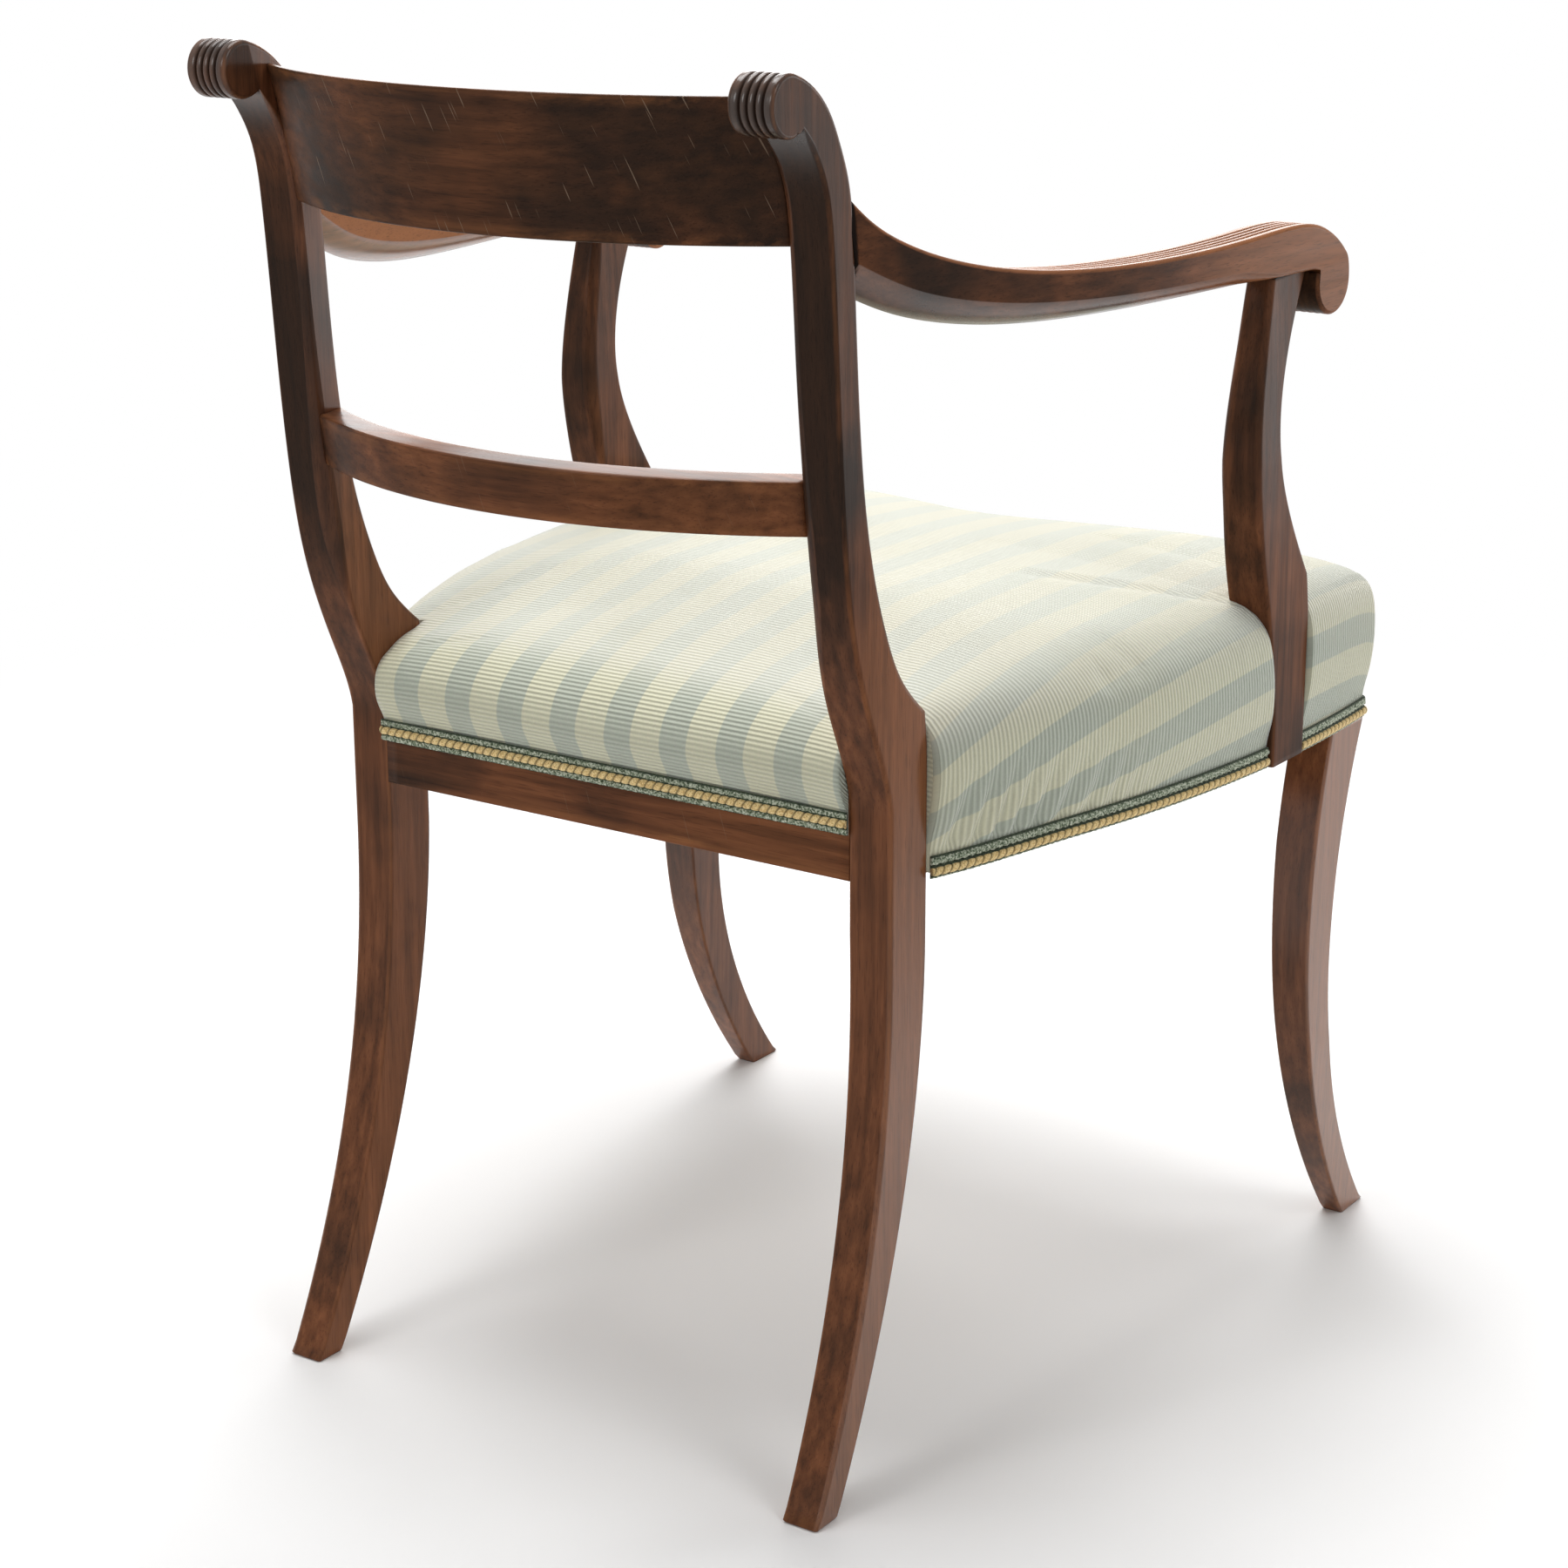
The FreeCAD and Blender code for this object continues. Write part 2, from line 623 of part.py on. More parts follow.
# Crowned seat: height, step outside the rails at the sides and front, and at the back
def seat_sections():
    low, edge, crown = seat_rail_bottom + soft_gap, rail_top, seat_crown
    gimp_top = seat_rail_bottom + gimp_height + 1
    back_top = seat_rail_bottom + gimp_back_rise + gimp_height + 1
    bulge = cover_bulge
    return [(low, 0, 0), (gimp_top, 0, 0), (gimp_top + 16, 0.6 * bulge, 0), (back_top, 0.9 * bulge, 0),
            (edge + 0.12 * crown, bulge, 0.9 * bulge), (edge + 0.33 * crown, bulge, 0.5 * bulge),
            (edge + 0.52 * crown, 0.5 * bulge, -12), (edge + 0.66 * crown, -4, -33), (edge + 0.77 * crown, -19, -60),
            (edge + 0.88 * crown, -54, -104), (edge + 0.96 * crown, -108, -140), (edge + crown, -162, -172)]


def seat_loft(step, from_z=None):
    # the whole crowned form, a step outside the rails' own line
    rows = [(z + (step - cover_off if z > rail_top else 0), off + step, rear + step)
            for z, off, rear in seat_sections()]
    if from_z is not None:
        rows = [(from_z, cover_bulge + step, 0.9 * cover_bulge + step)] + [r for r in rows if r[0] > from_z + 1]
    return Part.makeLoft([seat_outline(off, rear, z) for z, off, rear in rows], True, True)


def frame_clearance(gap):
    # what the soft pieces are cut round: both stiles, and both arm supports
    stile = box(rear_inner_x - gap, 2 * rear_outer_x, rear_block_front - gap, 2 * rear_block_back, 0, scroll_z)
    support = support_prism(support_inner_x - gap, 2 * support_outer_x, gap)
    shapes = [stile, support]
    return shapes + [mirrored(s) for s in shapes]


def cut_all(shape, tools):
    return shape.cut(Part.makeCompound(tools)) if tools else shape


# Wooden pieces, left side first
rear_leg = rear_leg_blank()
front_leg = front_leg_blank()
crest = bowed_rail(crest_section(), crest_back_y, crest_bow)
mid_rail = bowed_rail(mid_section(), mid_back_y, mid_bow)
arm = arm_side_prism().common(arm_plan_prism())

rear_leg = cut_all(rear_leg, [crest_end_tenon(joint_gap), mid_end_tenon(joint_gap),
                              back_rail_tenon(joint_gap), side_rail_rear_tenon(joint_gap),
                              arm_tenon(joint_gap)])
front_leg = cut_all(front_leg, [side_rail_front_tenon(joint_gap), front_rail_tenon(joint_gap)])
stile_room = prism(rear_leg_outline(), V(2 * rear_outer_x, 0, 0))
arm = one_solid(arm.cut(stile_room)).fuse(arm_tenon(0).common(stile_room))
arm = one_solid(arm.cut(support_head_tenon(joint_gap)))

crest = crest.fuse([crest_end_tenon(0), mirrored(crest_end_tenon(0))])
mid_rail = mid_rail.fuse([mid_end_tenon(0), mirrored(mid_end_tenon(0))])

back_rail = box(-rear_inner_x, rear_inner_x, rear_block_back - back_rail_thick, rear_block_back,
                seat_rail_bottom, rail_top)
back_rail = back_rail.fuse([back_rail_tenon(0), mirrored(back_rail_tenon(0))])
front_rail = box(-front_inner_x, front_inner_x, front_leg_front, front_leg_front + front_rail_thick,
                 seat_rail_bottom, rail_top)
front_rail = front_rail.fuse([front_rail_tenon(0), mirrored(front_rail_tenon(0))])
side_rail = side_band(front_leg_back, rear_block_front, -side_rail_thick, 0, seat_rail_bottom, rail_top)
side_rail = side_rail.fuse([side_rail_rear_tenon(0), side_rail_front_tenon(0)])
side_rail = side_rail.cut(box(support_lap_x, support_outer_x + 50, support_foot_back - support_foot_depth,
                              support_foot_back, 0, rail_top + 1))

support = support_prism(support_inner_x, support_outer_x, 0)
support = support.cut(box(support_inner_x - 1, support_lap_x, support_foot_back - 2 * support_foot_depth,
                          support_foot_back + support_foot_depth, 0, rail_top))
support_taper = (support_width - support_head_width) / 2
support_waist_z = seat_rail_bottom + support_waist_rise
support_y = V(0, 4 * support_foot_depth, 0)
for x, sign in ((support_outer_x, -1), (support_inner_x, 1)):
    y = support_foot_back - 2 * support_foot_depth
    support = support.cut(polygon_prism([V(x, y, support_waist_z), V(x + sign * support_taper, y, support_top),
                                         V(x + sign * support_taper, y, support_top + 1),
                                         V(x - sign, y, support_top + 1), V(x - sign, y, support_waist_z)],
                                        support_y))
support = support.fuse(support_head_tenon(0))

# Corner blocks, screwed to the rails they fill the corner of
block_low = seat_rail_bottom + (seat_rail_height - block_height) / 2
block_mid = block_low + block_height / 2


def corner_block(rail_face, sign, leg_inner_x):
    corner_x = leg_inner_x + 30
    blank = polygon_prism([V(leg_inner_x - block_leg_front, rail_face, block_low), V(corner_x, rail_face, block_low),
                           V(corner_x, rail_face + sign * block_leg_side, block_low)], V(0, 0, block_height))
    band = side_band(front_leg_back - 40, rear_block_front + 40, -side_rail_thick - soft_gap, 60,
                     seat_rail_bottom, rail_top)
    return blank.cut(band)


leg_room = box(front_inner_x - soft_gap, front_outer_x, front_leg_front, front_leg_back + soft_gap, 0, rail_top)
front_block = one_solid(corner_block(front_leg_front + front_rail_thick, 1, front_inner_x).cut(leg_room))
leg_room = box(rear_inner_x - soft_gap, rear_outer_x, rear_block_front - soft_gap, rear_block_back, 0, rail_top)
rear_block = one_solid(corner_block(rear_block_back - back_rail_thick, -1, rear_inner_x).cut(leg_room))

block_screws = []
block_holes = []
for face, sign, inner_x in ((front_leg_front + front_rail_thick, 1, front_inner_x),
                            (rear_block_back - back_rail_thick, -1, rear_inner_x)):
    x_end = inner_x - 0.5 * block_leg_front
    y_end = face + sign * 0.72 * block_leg_side
    into_end = V(0, -sign, 0)
    into_side = side_normal(y_end)
    end_seat = V(x_end, face + sign * (screw_length - screw_bite), block_mid)
    on_rail = V(side_x(y_end, -side_rail_thick), y_end, block_mid)
    side_seat = on_rail - into_side * (screw_length - screw_bite)
    for seat, direction in ((end_seat, into_end), (side_seat, into_side)):
        block_screws.append(screw(seat, direction, screw_length))
        block_holes.append(screw_hole(seat, direction, screw_length, 90))
front_block = cut_all(front_block, block_holes)
rear_block = cut_all(rear_block, block_holes)

# Two screws through each side rail into the foot of the arm support
support_screws = []
support_holes = []
support_screw_y = support_foot_back - support_foot_depth / 2
for share in (0.3, 0.7):
    seat = V(side_x(support_screw_y, -side_rail_thick) + screw_head_height + 1, support_screw_y,
             seat_rail_bottom + share * seat_rail_height)
    reach = support_outer_x - 0.4 * support_lap - seat.x
    support_screws.append(screw(seat, V(1, 0, 0), reach))
    support_holes.append(screw_hole(seat, V(1, 0, 0), reach, 30))
support = cut_all(support, support_holes)
side_rail = cut_all(side_rail, support_holes + block_holes)
back_rail = cut_all(back_rail, block_holes + [mirrored(h) for h in block_holes])
front_rail = cut_all(front_rail, block_holes + [mirrored(h) for h in block_holes])

# Webbing: strips from front to back on the rails, and strips across them
web_long = []
web_tacks = []
front_edge_y = front_leg_front + front_rail_thick - webbing_overlap
back_edge_y = rear_block_back - back_rail_thick + webbing_overlap
down = V(0, 0, -1)
for i in range(web_long_count):
    x = (i - (web_long_count - 1) / 2) * web_long_pitch
    web_long.append(box(x - webbing_width / 2, x + webbing_width / 2, front_edge_y, back_edge_y,
                        rail_top, rail_top + webbing_thick))
    for y in (front_edge_y + tack_end_margin, back_edge_y - tack_end_margin):
        for dx in (-webbing_width / 4, webbing_width / 4):
            web_tacks.append((V(x + dx, y, rail_top + webbing_thick), down))
web_cross = []
for y in web_cross_places:
    reach = side_x(y, -side_rail_thick) + webbing_overlap - 4
    web_cross.append(box(-reach, reach, y - webbing_width / 2, y + webbing_width / 2,
                         rail_top + webbing_thick, rail_top + 2 * webbing_thick))
    for sign in (-1, 1):
        for dy in (-webbing_width / 4, webbing_width / 4):
            web_tacks.append((V(sign * (reach - tack_end_margin), y + dy, rail_top + 2 * webbing_thick), down))

# Cover tacks along the lower edge of the cover, under the gimp
cover_tacks = []
along_back = int(2 * rear_inner_x // tack_pitch)
for i in range(along_back + 1):
    x = (i / along_back - 0.5) * 2 * (rear_inner_x - tack_end_margin)
    cover_tacks.append((V(x, rear_block_back + cover_off, tack_z_back), V(0, -1, 0)))
along_front = int(2 * front_inner_x // tack_pitch)
for i in range(along_front + 1):
    x = (i / along_front - 0.5) * 2 * (front_inner_x - tack_end_margin)
    cover_tacks.append((V(x, front_leg_front - cover_off, tack_z_side), V(0, 1, 0)))
support_front_y = support_foot_back - support_foot_depth
for y0, y1 in ((rear_block_front, support_foot_back), (support_front_y, front_leg_back)):
    count = max(1, int((y0 - y1) // tack_pitch))
    for i in range(count + 1):
        y = y0 - tack_end_margin + (i / count) * (y1 - y0 + 2 * tack_end_margin)
        out = side_normal(y)
        foot = V(side_x(y, 0), y, tack_z_side) + out * cover_off
        for sign in (-1, 1):
            cover_tacks.append((V(sign * foot.x, foot.y, foot.z), V(-sign * out.x, -out.y, 0)))

tack_holes = [tack_hole(*t) for t in web_tacks + cover_tacks]
back_rail = cut_all(back_rail, tack_holes)
front_rail = cut_all(front_rail, tack_holes)
side_left = cut_all(side_rail, tack_holes)
side_right = cut_all(mirrored(side_rail), tack_holes)
web_long = [cut_all(w, tack_holes) for w in web_long]
web_cross = [cut_all(w, tack_holes) for w in web_cross]

# Hessian, stuffing and cover
hessian_low = rail_top + 2 * webbing_thick + tack_head_height + soft_gap
stuffing_low = hessian_low + hessian_thick + soft_gap
hessian = Part.Face(seat_outline(-hessian_inset, -hessian_inset, hessian_low)).extrude(V(0, 0, hessian_thick))
hessian = one_solid(cut_all(hessian, frame_clearance(soft_gap)))
stuffing = seat_loft(0, stuffing_low)
stuffing = one_solid(cut_all(stuffing, frame_clearance(soft_gap)))
show_wood = box(-front_outer_x, front_outer_x, rear_block_front, rear_block_back + 100, 0,
                seat_rail_bottom + gimp_back_rise + 1)
inside = seat_loft(soft_gap)
under = Part.Face(seat_outline(soft_gap, soft_gap, 0)).extrude(V(0, 0, seat_rail_bottom + 2 * soft_gap))
cover = seat_loft(cover_off).cut(inside).cut(under).cut(show_wood)
cover = one_solid(cut_all(cover, frame_clearance(soft_gap) + tack_holes))

# Gimp braid over the cover's lower edge, in four lengths
gimp_out = gimp_off + gimp_thick
back_low = seat_rail_bottom + gimp_back_rise
gimp_back = box(-rear_inner_x + soft_gap, rear_inner_x - soft_gap, rear_block_back + gimp_off,
                rear_block_back + gimp_out, back_low, back_low + gimp_height)
gimp_low = seat_rail_bottom - gimp_drop
gimp_left = side_band(support_foot_back + soft_gap, rear_block_front - soft_gap, gimp_off, gimp_out,
                      gimp_low, gimp_low + gimp_height)
gimp_ring = Part.Face(seat_outline(gimp_out, gimp_out, gimp_low)).extrude(V(0, 0, gimp_height))
gimp_ring = gimp_ring.cut(Part.Face(seat_outline(gimp_off, gimp_off, gimp_low)).extrude(V(0, 0, gimp_height)))
gimp_front = one_solid(gimp_ring.cut(box(-2 * front_outer_x, 2 * front_outer_x, support_front_y - soft_gap,
                                         2 * rear_block_back, 0, rail_top)))

save("rear_leg_left", rear_leg)
save("rear_leg_right", mirrored(rear_leg))
save("front_leg_left", front_leg)
save("front_leg_right", mirrored(front_leg))
save("crest_rail", crest)
save("mid_rail", mid_rail)
save("back_seat_rail", back_rail)
save("front_seat_rail", front_rail)
save("side_seat_rail_left", side_left)
save("side_seat_rail_right", side_right)
save("arm_left", arm)
save("arm_right", mirrored(arm))
save("arm_support_left", support)
save("arm_support_right", mirrored(support))
save("corner_block_front_left", front_block)
save("corner_block_front_right", mirrored(front_block))
save("corner_block_rear_left", rear_block)
save("corner_block_rear_right", mirrored(rear_block))
save("corner_block_screws", Part.makeCompound(block_screws + [mirrored(s) for s in block_screws]))
save("arm_support_screws", Part.makeCompound(support_screws + [mirrored(s) for s in support_screws]))
save("webbing_front_to_back", Part.makeCompound(web_long))
save("webbing_side_to_side", Part.makeCompound(web_cross))
save("webbing_tacks", Part.makeCompound([tack(*t) for t in web_tacks]))
save("hessian", hessian)
save("seat_stuffing", stuffing)
save("seat_cover", cover)
save("cover_tacks", Part.makeCompound([tack(*t) for t in cover_tacks]))
save("gimp_back", gimp_back)
save("gimp_left", gimp_left)
save("gimp_right", mirrored(gimp_left))
save("gimp_front", gimp_front)
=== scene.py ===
import bpy
import math
import numpy as np
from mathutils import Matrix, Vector


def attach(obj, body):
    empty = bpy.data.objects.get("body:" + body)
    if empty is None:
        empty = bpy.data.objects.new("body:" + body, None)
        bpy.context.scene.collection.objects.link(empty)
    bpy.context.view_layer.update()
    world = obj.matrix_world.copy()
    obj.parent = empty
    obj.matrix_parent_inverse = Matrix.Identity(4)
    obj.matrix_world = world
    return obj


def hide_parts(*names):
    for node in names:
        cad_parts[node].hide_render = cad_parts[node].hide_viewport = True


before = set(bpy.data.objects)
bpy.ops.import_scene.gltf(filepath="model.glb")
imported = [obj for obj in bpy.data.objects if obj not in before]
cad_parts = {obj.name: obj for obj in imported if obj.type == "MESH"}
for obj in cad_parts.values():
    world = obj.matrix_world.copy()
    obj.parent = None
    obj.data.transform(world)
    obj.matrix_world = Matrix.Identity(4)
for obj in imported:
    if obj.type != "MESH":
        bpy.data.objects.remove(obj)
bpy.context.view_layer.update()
scene = bpy.context.scene
scene.view_settings.view_transform = "Standard"
print("frame loaded:", len(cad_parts), "nodes")

planShift = 8.75  # mm, from the drawing's origin under the seat to the middle of the plan
cornerSteps = 4   # facets round every softened arris
faceSteps = (0.03, 0.1, 0.2, 0.35, 0.5, 0.65, 0.8, 0.9, 0.97)  # places of points across a plain face
notchArris, notchGrowth = 0.25, 0.16  # mm, an arris at the notch under a roll and its growth per mm away
footRim, footWear = 0.93, 0.9  # a foot's ring on the floor as a share of the one above, and how rubbed it is
bothSides = ((1, "left"), (-1, "right"))


def hexLinear(text):  # sRGB hex to the linear colour a socket takes
    c = np.array([int(text[i:i + 2], 16) for i in (1, 3, 5)]) / 255
    return (*np.where(c <= 0.04045, c / 12.92, ((c + 0.055) / 1.055) ** 2.4).tolist(), 1.0)


def addNode(tree, kind, settings=None, links=None):
    # a node with its settings and links: "stops" fills a colour ramp, and a linked node gives its first
    # output or, if it is a colour mix, its third
    node = tree.nodes.new("ShaderNode" + kind)
    for key, value in (settings or {}).items():
        if key == "stops":
            ramp = node.color_ramp.elements
            while len(ramp) < len(value):
                ramp.new(0.5)
            for stop, (place, colour) in zip(ramp, value):
                stop.position, stop.color = place, hexLinear(colour)
        elif isinstance(key, str) and hasattr(node, key):
            setattr(node, key, value)
        else:
            node.inputs[key].default_value = value
    for key, source in (links or {}).items():
        if hasattr(source, "outputs"):
            source = source.outputs[2 if source.bl_idname == "ShaderNodeMix" else 0]
        tree.links.new(source, node.inputs[key])
    return node


def newMaterial(name):
    material = bpy.data.materials.new(name)
    material.use_nodes = True
    tree = material.node_tree
    tree.nodes.clear()
    return material, tree


def gridQuads(rows, columns):  # faces of a grid whose columns close into a ring
    r, c = np.meshgrid(np.arange(rows - 1), np.arange(columns), indexing="ij")
    n = (c + 1) % columns
    corners = [r * columns + c, r * columns + n, (r + 1) * columns + n, (r + 1) * columns + c]
    return np.stack(corners, -1).reshape(-1, 4)


def endQuads(columns, first):  # rungs that close a ring: column i faces column -1-i
    i = np.arange(columns // 2 - 1)
    return first + np.stack([i, columns - 1 - i, columns - 2 - i, i + 1], -1)


def tubeQuads(rows, columns, firstOpen=False):  # rings closed at the last and, unless left open, at the first
    start = [] if firstOpen else [endQuads(columns, 0)]
    end = endQuads(columns, (rows - 1) * columns)[:, ::-1]
    return np.concatenate([gridQuads(rows, columns), *start, end])


def putMesh(name, points, quads, material, marks=None, uv=None, side=1):
    # drawn millimetres to metres in the part's frame; faces turn over if the enclosed volume is negative
    xyz = (np.asarray(points, float).reshape(-1, 3) * (side, 1, 1) - (0, planShift, 0)) / 1000
    a, b, c, d = (xyz[quads[:, i]] for i in range(4))
    if np.sum(a * (np.cross(b, c) + np.cross(c, d))) < 0:
        quads = quads[:, ::-1]
        uv = None if uv is None else uv[:, ::-1]
    mesh = bpy.data.meshes.new(name)
    mesh.vertices.add(len(xyz))
    mesh.vertices.foreach_set("co", xyz.astype(np.float32).ravel())
    mesh.loops.add(quads.size)
    mesh.loops.foreach_set("vertex_index", np.ascontiguousarray(quads, np.int32).ravel())
    mesh.polygons.add(len(quads))
    mesh.polygons.foreach_set("loop_start", np.arange(0, quads.size, 4, dtype=np.int32))
    mesh.update(calc_edges=True)
    mesh.shade_smooth()
    for key, values in (marks or {}).items():
        layer = mesh.attributes.new(key, "FLOAT", "POINT")
        layer.data.foreach_set("value", np.asarray(values, np.float32).ravel())
    if uv is not None:
        layer = mesh.uv_layers.new(name="cloth")
        layer.data.foreach_set("uv", np.ascontiguousarray(uv, np.float32).ravel())
    mesh.materials.append(material)
    piece = bpy.data.objects.new(name, mesh)
    scene.collection.objects.link(piece)
    return piece


def settle(piece, slotName, *nodes):  # on the chair's one body, in place of these solids
    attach(piece, "root")
    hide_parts(*nodes)
    return piece


def evenSteps(line, count, start=0.0, end=0.0):  # points at even arc length, less a length at each end
    s = np.r_[0, np.cumsum(np.linalg.norm(np.diff(line, axis=0), axis=1))]
    at = np.linspace(start, s[-1] - end, count)
    return np.stack([np.interp(at, s, line[:, k]) for k in range(line.shape[1])], -1)


def smoothLine(points, count=600):
    # natural cubic through the points over chord length: second derivatives m solve a tridiagonal system
    p = np.asarray(points, float)
    t = np.r_[0, np.cumsum(np.linalg.norm(np.diff(p, axis=0), axis=1))]
    h, n = np.diff(t), len(t)
    a, b, i = np.eye(n), np.zeros_like(p), np.arange(1, n - 1)
    a[i, i - 1], a[i, i], a[i, i + 1] = h[:-1], 2 * (h[:-1] + h[1:]), h[1:]
    b[1:-1] = 6 * np.diff(np.diff(p, axis=0) / h[:, None], axis=0)
    m = np.linalg.solve(a, b)
    at = np.linspace(0, t[-1], 40 * n)
    k = np.clip(np.searchsorted(t, at, side="right") - 1, 0, n - 2)
    u, v, hk = (at - t[k])[:, None], (t[k + 1] - at)[:, None], h[k][:, None]
    line = (m[k] * v ** 3 + m[k + 1] * u ** 3) / (6 * hk)
    line += (p[k] / hk - m[k] * hk / 6) * v + (p[k + 1] / hk - m[k + 1] * hk / 6) * u
    return evenSteps(line, count)


def easeStep(x, low, high):  # 3t² - 2t³ between two places
    t = np.clip((x - low) / (high - low), 0, 1)
    return t * t * (3 - 2 * t)


def hump(x, low, high, after, gone):  # eases up, stays up and eases down again
    return easeStep(x, low, high) * (1 - easeStep(x, after, gone))


def edgeNormals(edge, other):  # unit normal of an edge line, away from the other edge
    t, away = np.gradient(edge, axis=0), edge - other
    n = np.stack([t[:, 1], -t[:, 0]], -1)
    size, reach = (np.linalg.norm(v, axis=1, keepdims=True) for v in (n, away))
    n = np.where(size > 1e-6, n / np.maximum(size, 1e-6), away / np.maximum(reach, 1e-6))
    return np.where(np.sum(n * away, 1, keepdims=True) < 0, -n, n)


def carriedSection(back, front, span, radii, reeds=0, reedDepth=0.0, blunt=0.0):
    # A four-sided section carried between two edge lines in the upright plane (y, z); span gives its inner
    # and outer x at a point. Each corner is a quarter circle: x moves r(1 - cos a) while the depth moves
    # r(1 - sin a); a blunt corner keeps only the middle of that arc, stretched to the same two ends.
    # Reeds: between n ridges the front face sinks by depth times (1 - |sin(pi n g)|^0.5) across its width g.
    # Arrises wear less the rounder they are, and dirt lies in the reeds.
    rows = len(back)
    nb, nf = edgeNormals(back, front)[:, None], edgeNormals(front, back)[:, None]
    rib, rob, rof, rif = (np.broadcast_to(np.asarray(r, float), rows)[:, None] for r in radii)
    a = np.linspace(0, np.pi / 2, cornerSteps + 1)[None]
    arc, most, least = blunt + a * (1 - 4 * blunt / np.pi), math.cos(blunt), math.sin(blunt)
    near, far = (most - np.cos(arc)) / (most - least), (most - np.sin(arc)) / (most - least)
    f = np.array([faceSteps])
    g = np.linspace(0, 1, 10 * reeds - 2)[None, 1:-1] if reeds else f
    between = (g > 0.5 / max(reeds, 1)) & (g < 1 - 0.5 / max(reeds, 1))
    groove = (1 - np.abs(np.sin(np.pi * reeds * g)) ** 0.5) * between
    sunk = np.broadcast_to(np.asarray(reedDepth, float), rows)[:, None] * groove
    back, front, w = back[:, None], front[:, None], f[..., None]
    yz = [back - nb * (rib * far)[..., None], back + 0 * w, back - nb * (rob * near)[..., None],
          (back - nb * rob[..., None]) * (1 - w) + (front - nf * rof[..., None]) * w,
          front - nf * (rof * far)[..., None], front - nf * sunk[..., None],
          front - nf * (rif * near)[..., None],
          (front - nf * rif[..., None]) * (1 - w) + (back - nb * rib[..., None]) * w]
    across = np.concatenate([0 * a, f, 1 + 0 * a, 1 + 0 * f, 1 + 0 * a, 1 - g, 0 * a, 0 * f], 1)
    plain, corner, crest = np.zeros((rows, f.size)), np.zeros((rows, a.size)), np.sin(2 * a)
    dx = [rib * near, rib * (1 - f) - rob * f, -rob * far, plain, -rof * near, rif * g - rof * (1 - g),
          rif * far, plain]
    # the rubbed colour on arrises and reed crests: partly wear, partly painted highlight
    wear = [crest * np.clip(1.6 - rib / 3, 0, 1), plain, crest * np.clip(1.6 - rob / 3, 0, 1), plain,
            crest * np.clip(1.9 - rof / 5, 0, 1), 0.3 * (1 - groove) * (reeds > 0) + 0 * sunk,
            crest * np.clip(1.6 - rif / 3, 0, 1), plain]
    dirt = [corner, plain, corner, plain, corner, sunk / max(np.max(sunk), 1e-6), corner, plain]
    yz = np.concatenate(yz, 1)
    inner, outer = span(yz[..., 0], yz[..., 1])
    x = inner * (1 - across) + outer * across + np.concatenate(dx, 1)
    side = np.repeat(np.arange(8), [v.shape[1] for v in dx])
    marks = {"wear": np.concatenate(wear, 1), "dirt": np.concatenate(dirt, 1)}
    return np.concatenate([x[..., None], yz], -1), marks, side


def bySide(side, back, outer, front, inner):  # a value for each side; a corner takes the middle of its two
    values = (np.atleast_1d(np.asarray(v, float)) for v in (back, outer, front, inner))
    b, o, f, i = np.broadcast_arrays(*values)
    return np.stack([(i + b) / 2, b, (b + o) / 2, o, (o + f) / 2, f, (f + i) / 2, i], -1)[:, side]


def woodPiece(name, grid, marks, material, side, node, footSoft=0.0):  # closes a carried section at both ends
    marks = {key: np.broadcast_to(v, grid.shape[:2]) for key, v in marks.items()}
    if footSoft:  # the foot's rim is worn: one smaller ring at the floor under the first
        ring = grid[:1].copy()
        middle = ring.mean(1, keepdims=True)
        ring[..., :2] = middle[..., :2] + (ring[..., :2] - middle[..., :2]) * footRim
        ring[..., 2] = 0
        grid = grid.copy()
        grid[..., 2] = np.maximum(grid[..., 2], footSoft)
        grid = np.concatenate([ring, grid])
        marks = {key: np.concatenate([v[:1], v]) for key, v in marks.items()}
        marks["wear"][:2] = footWear
    quads = tubeQuads(*grid.shape[:2])
    return settle(putMesh(name, grid, quads, material, marks, side=side), "mahogany", node)


def intoRoll(points, rollAt, angles):  # a smooth line that runs into a roll, cut where the roll begins
    line = smoothLine(points + [tuple(rollAt(a)) for a in angles])
    return line[:np.argmin(np.linalg.norm(line - rollAt(angles[0]), axis=1)) + 1]


# Polished mahogany, french polished and waxed: red brown with long pore lines, black where hands and dirt
# have darkened it and as painted shade, paler as painted light, pale along rubbed arrises partly as painted
# highlight; the gloss has stayed on some faces and gone dull on others
mahogany = {"shadow": "#4C2E1E", "body": "#6A412A", "warm": "#835236", "patinaAndShade": "#241D18",
            "faded": "#AB6C3C", "rubbedAndHighlight": "#94603C", "grime": "#150D09", "scratch": "#9C8672",
            "streakMm": 5.0, "poreMm": 0.8, "patchMm": 75.0, "along": 0.045, "chipMm": 11.0, "scratchMm": 1.1,
            "scratchLong": 28.0, "scratchLean": 0.3, "darkeningRange": (0.43, 0.8, 0.88),
            "pores": (0.55, 0.72, 0.4), "chips": (0.42, 0.7, 0.6), "scratches": (0.76, 0.8)}


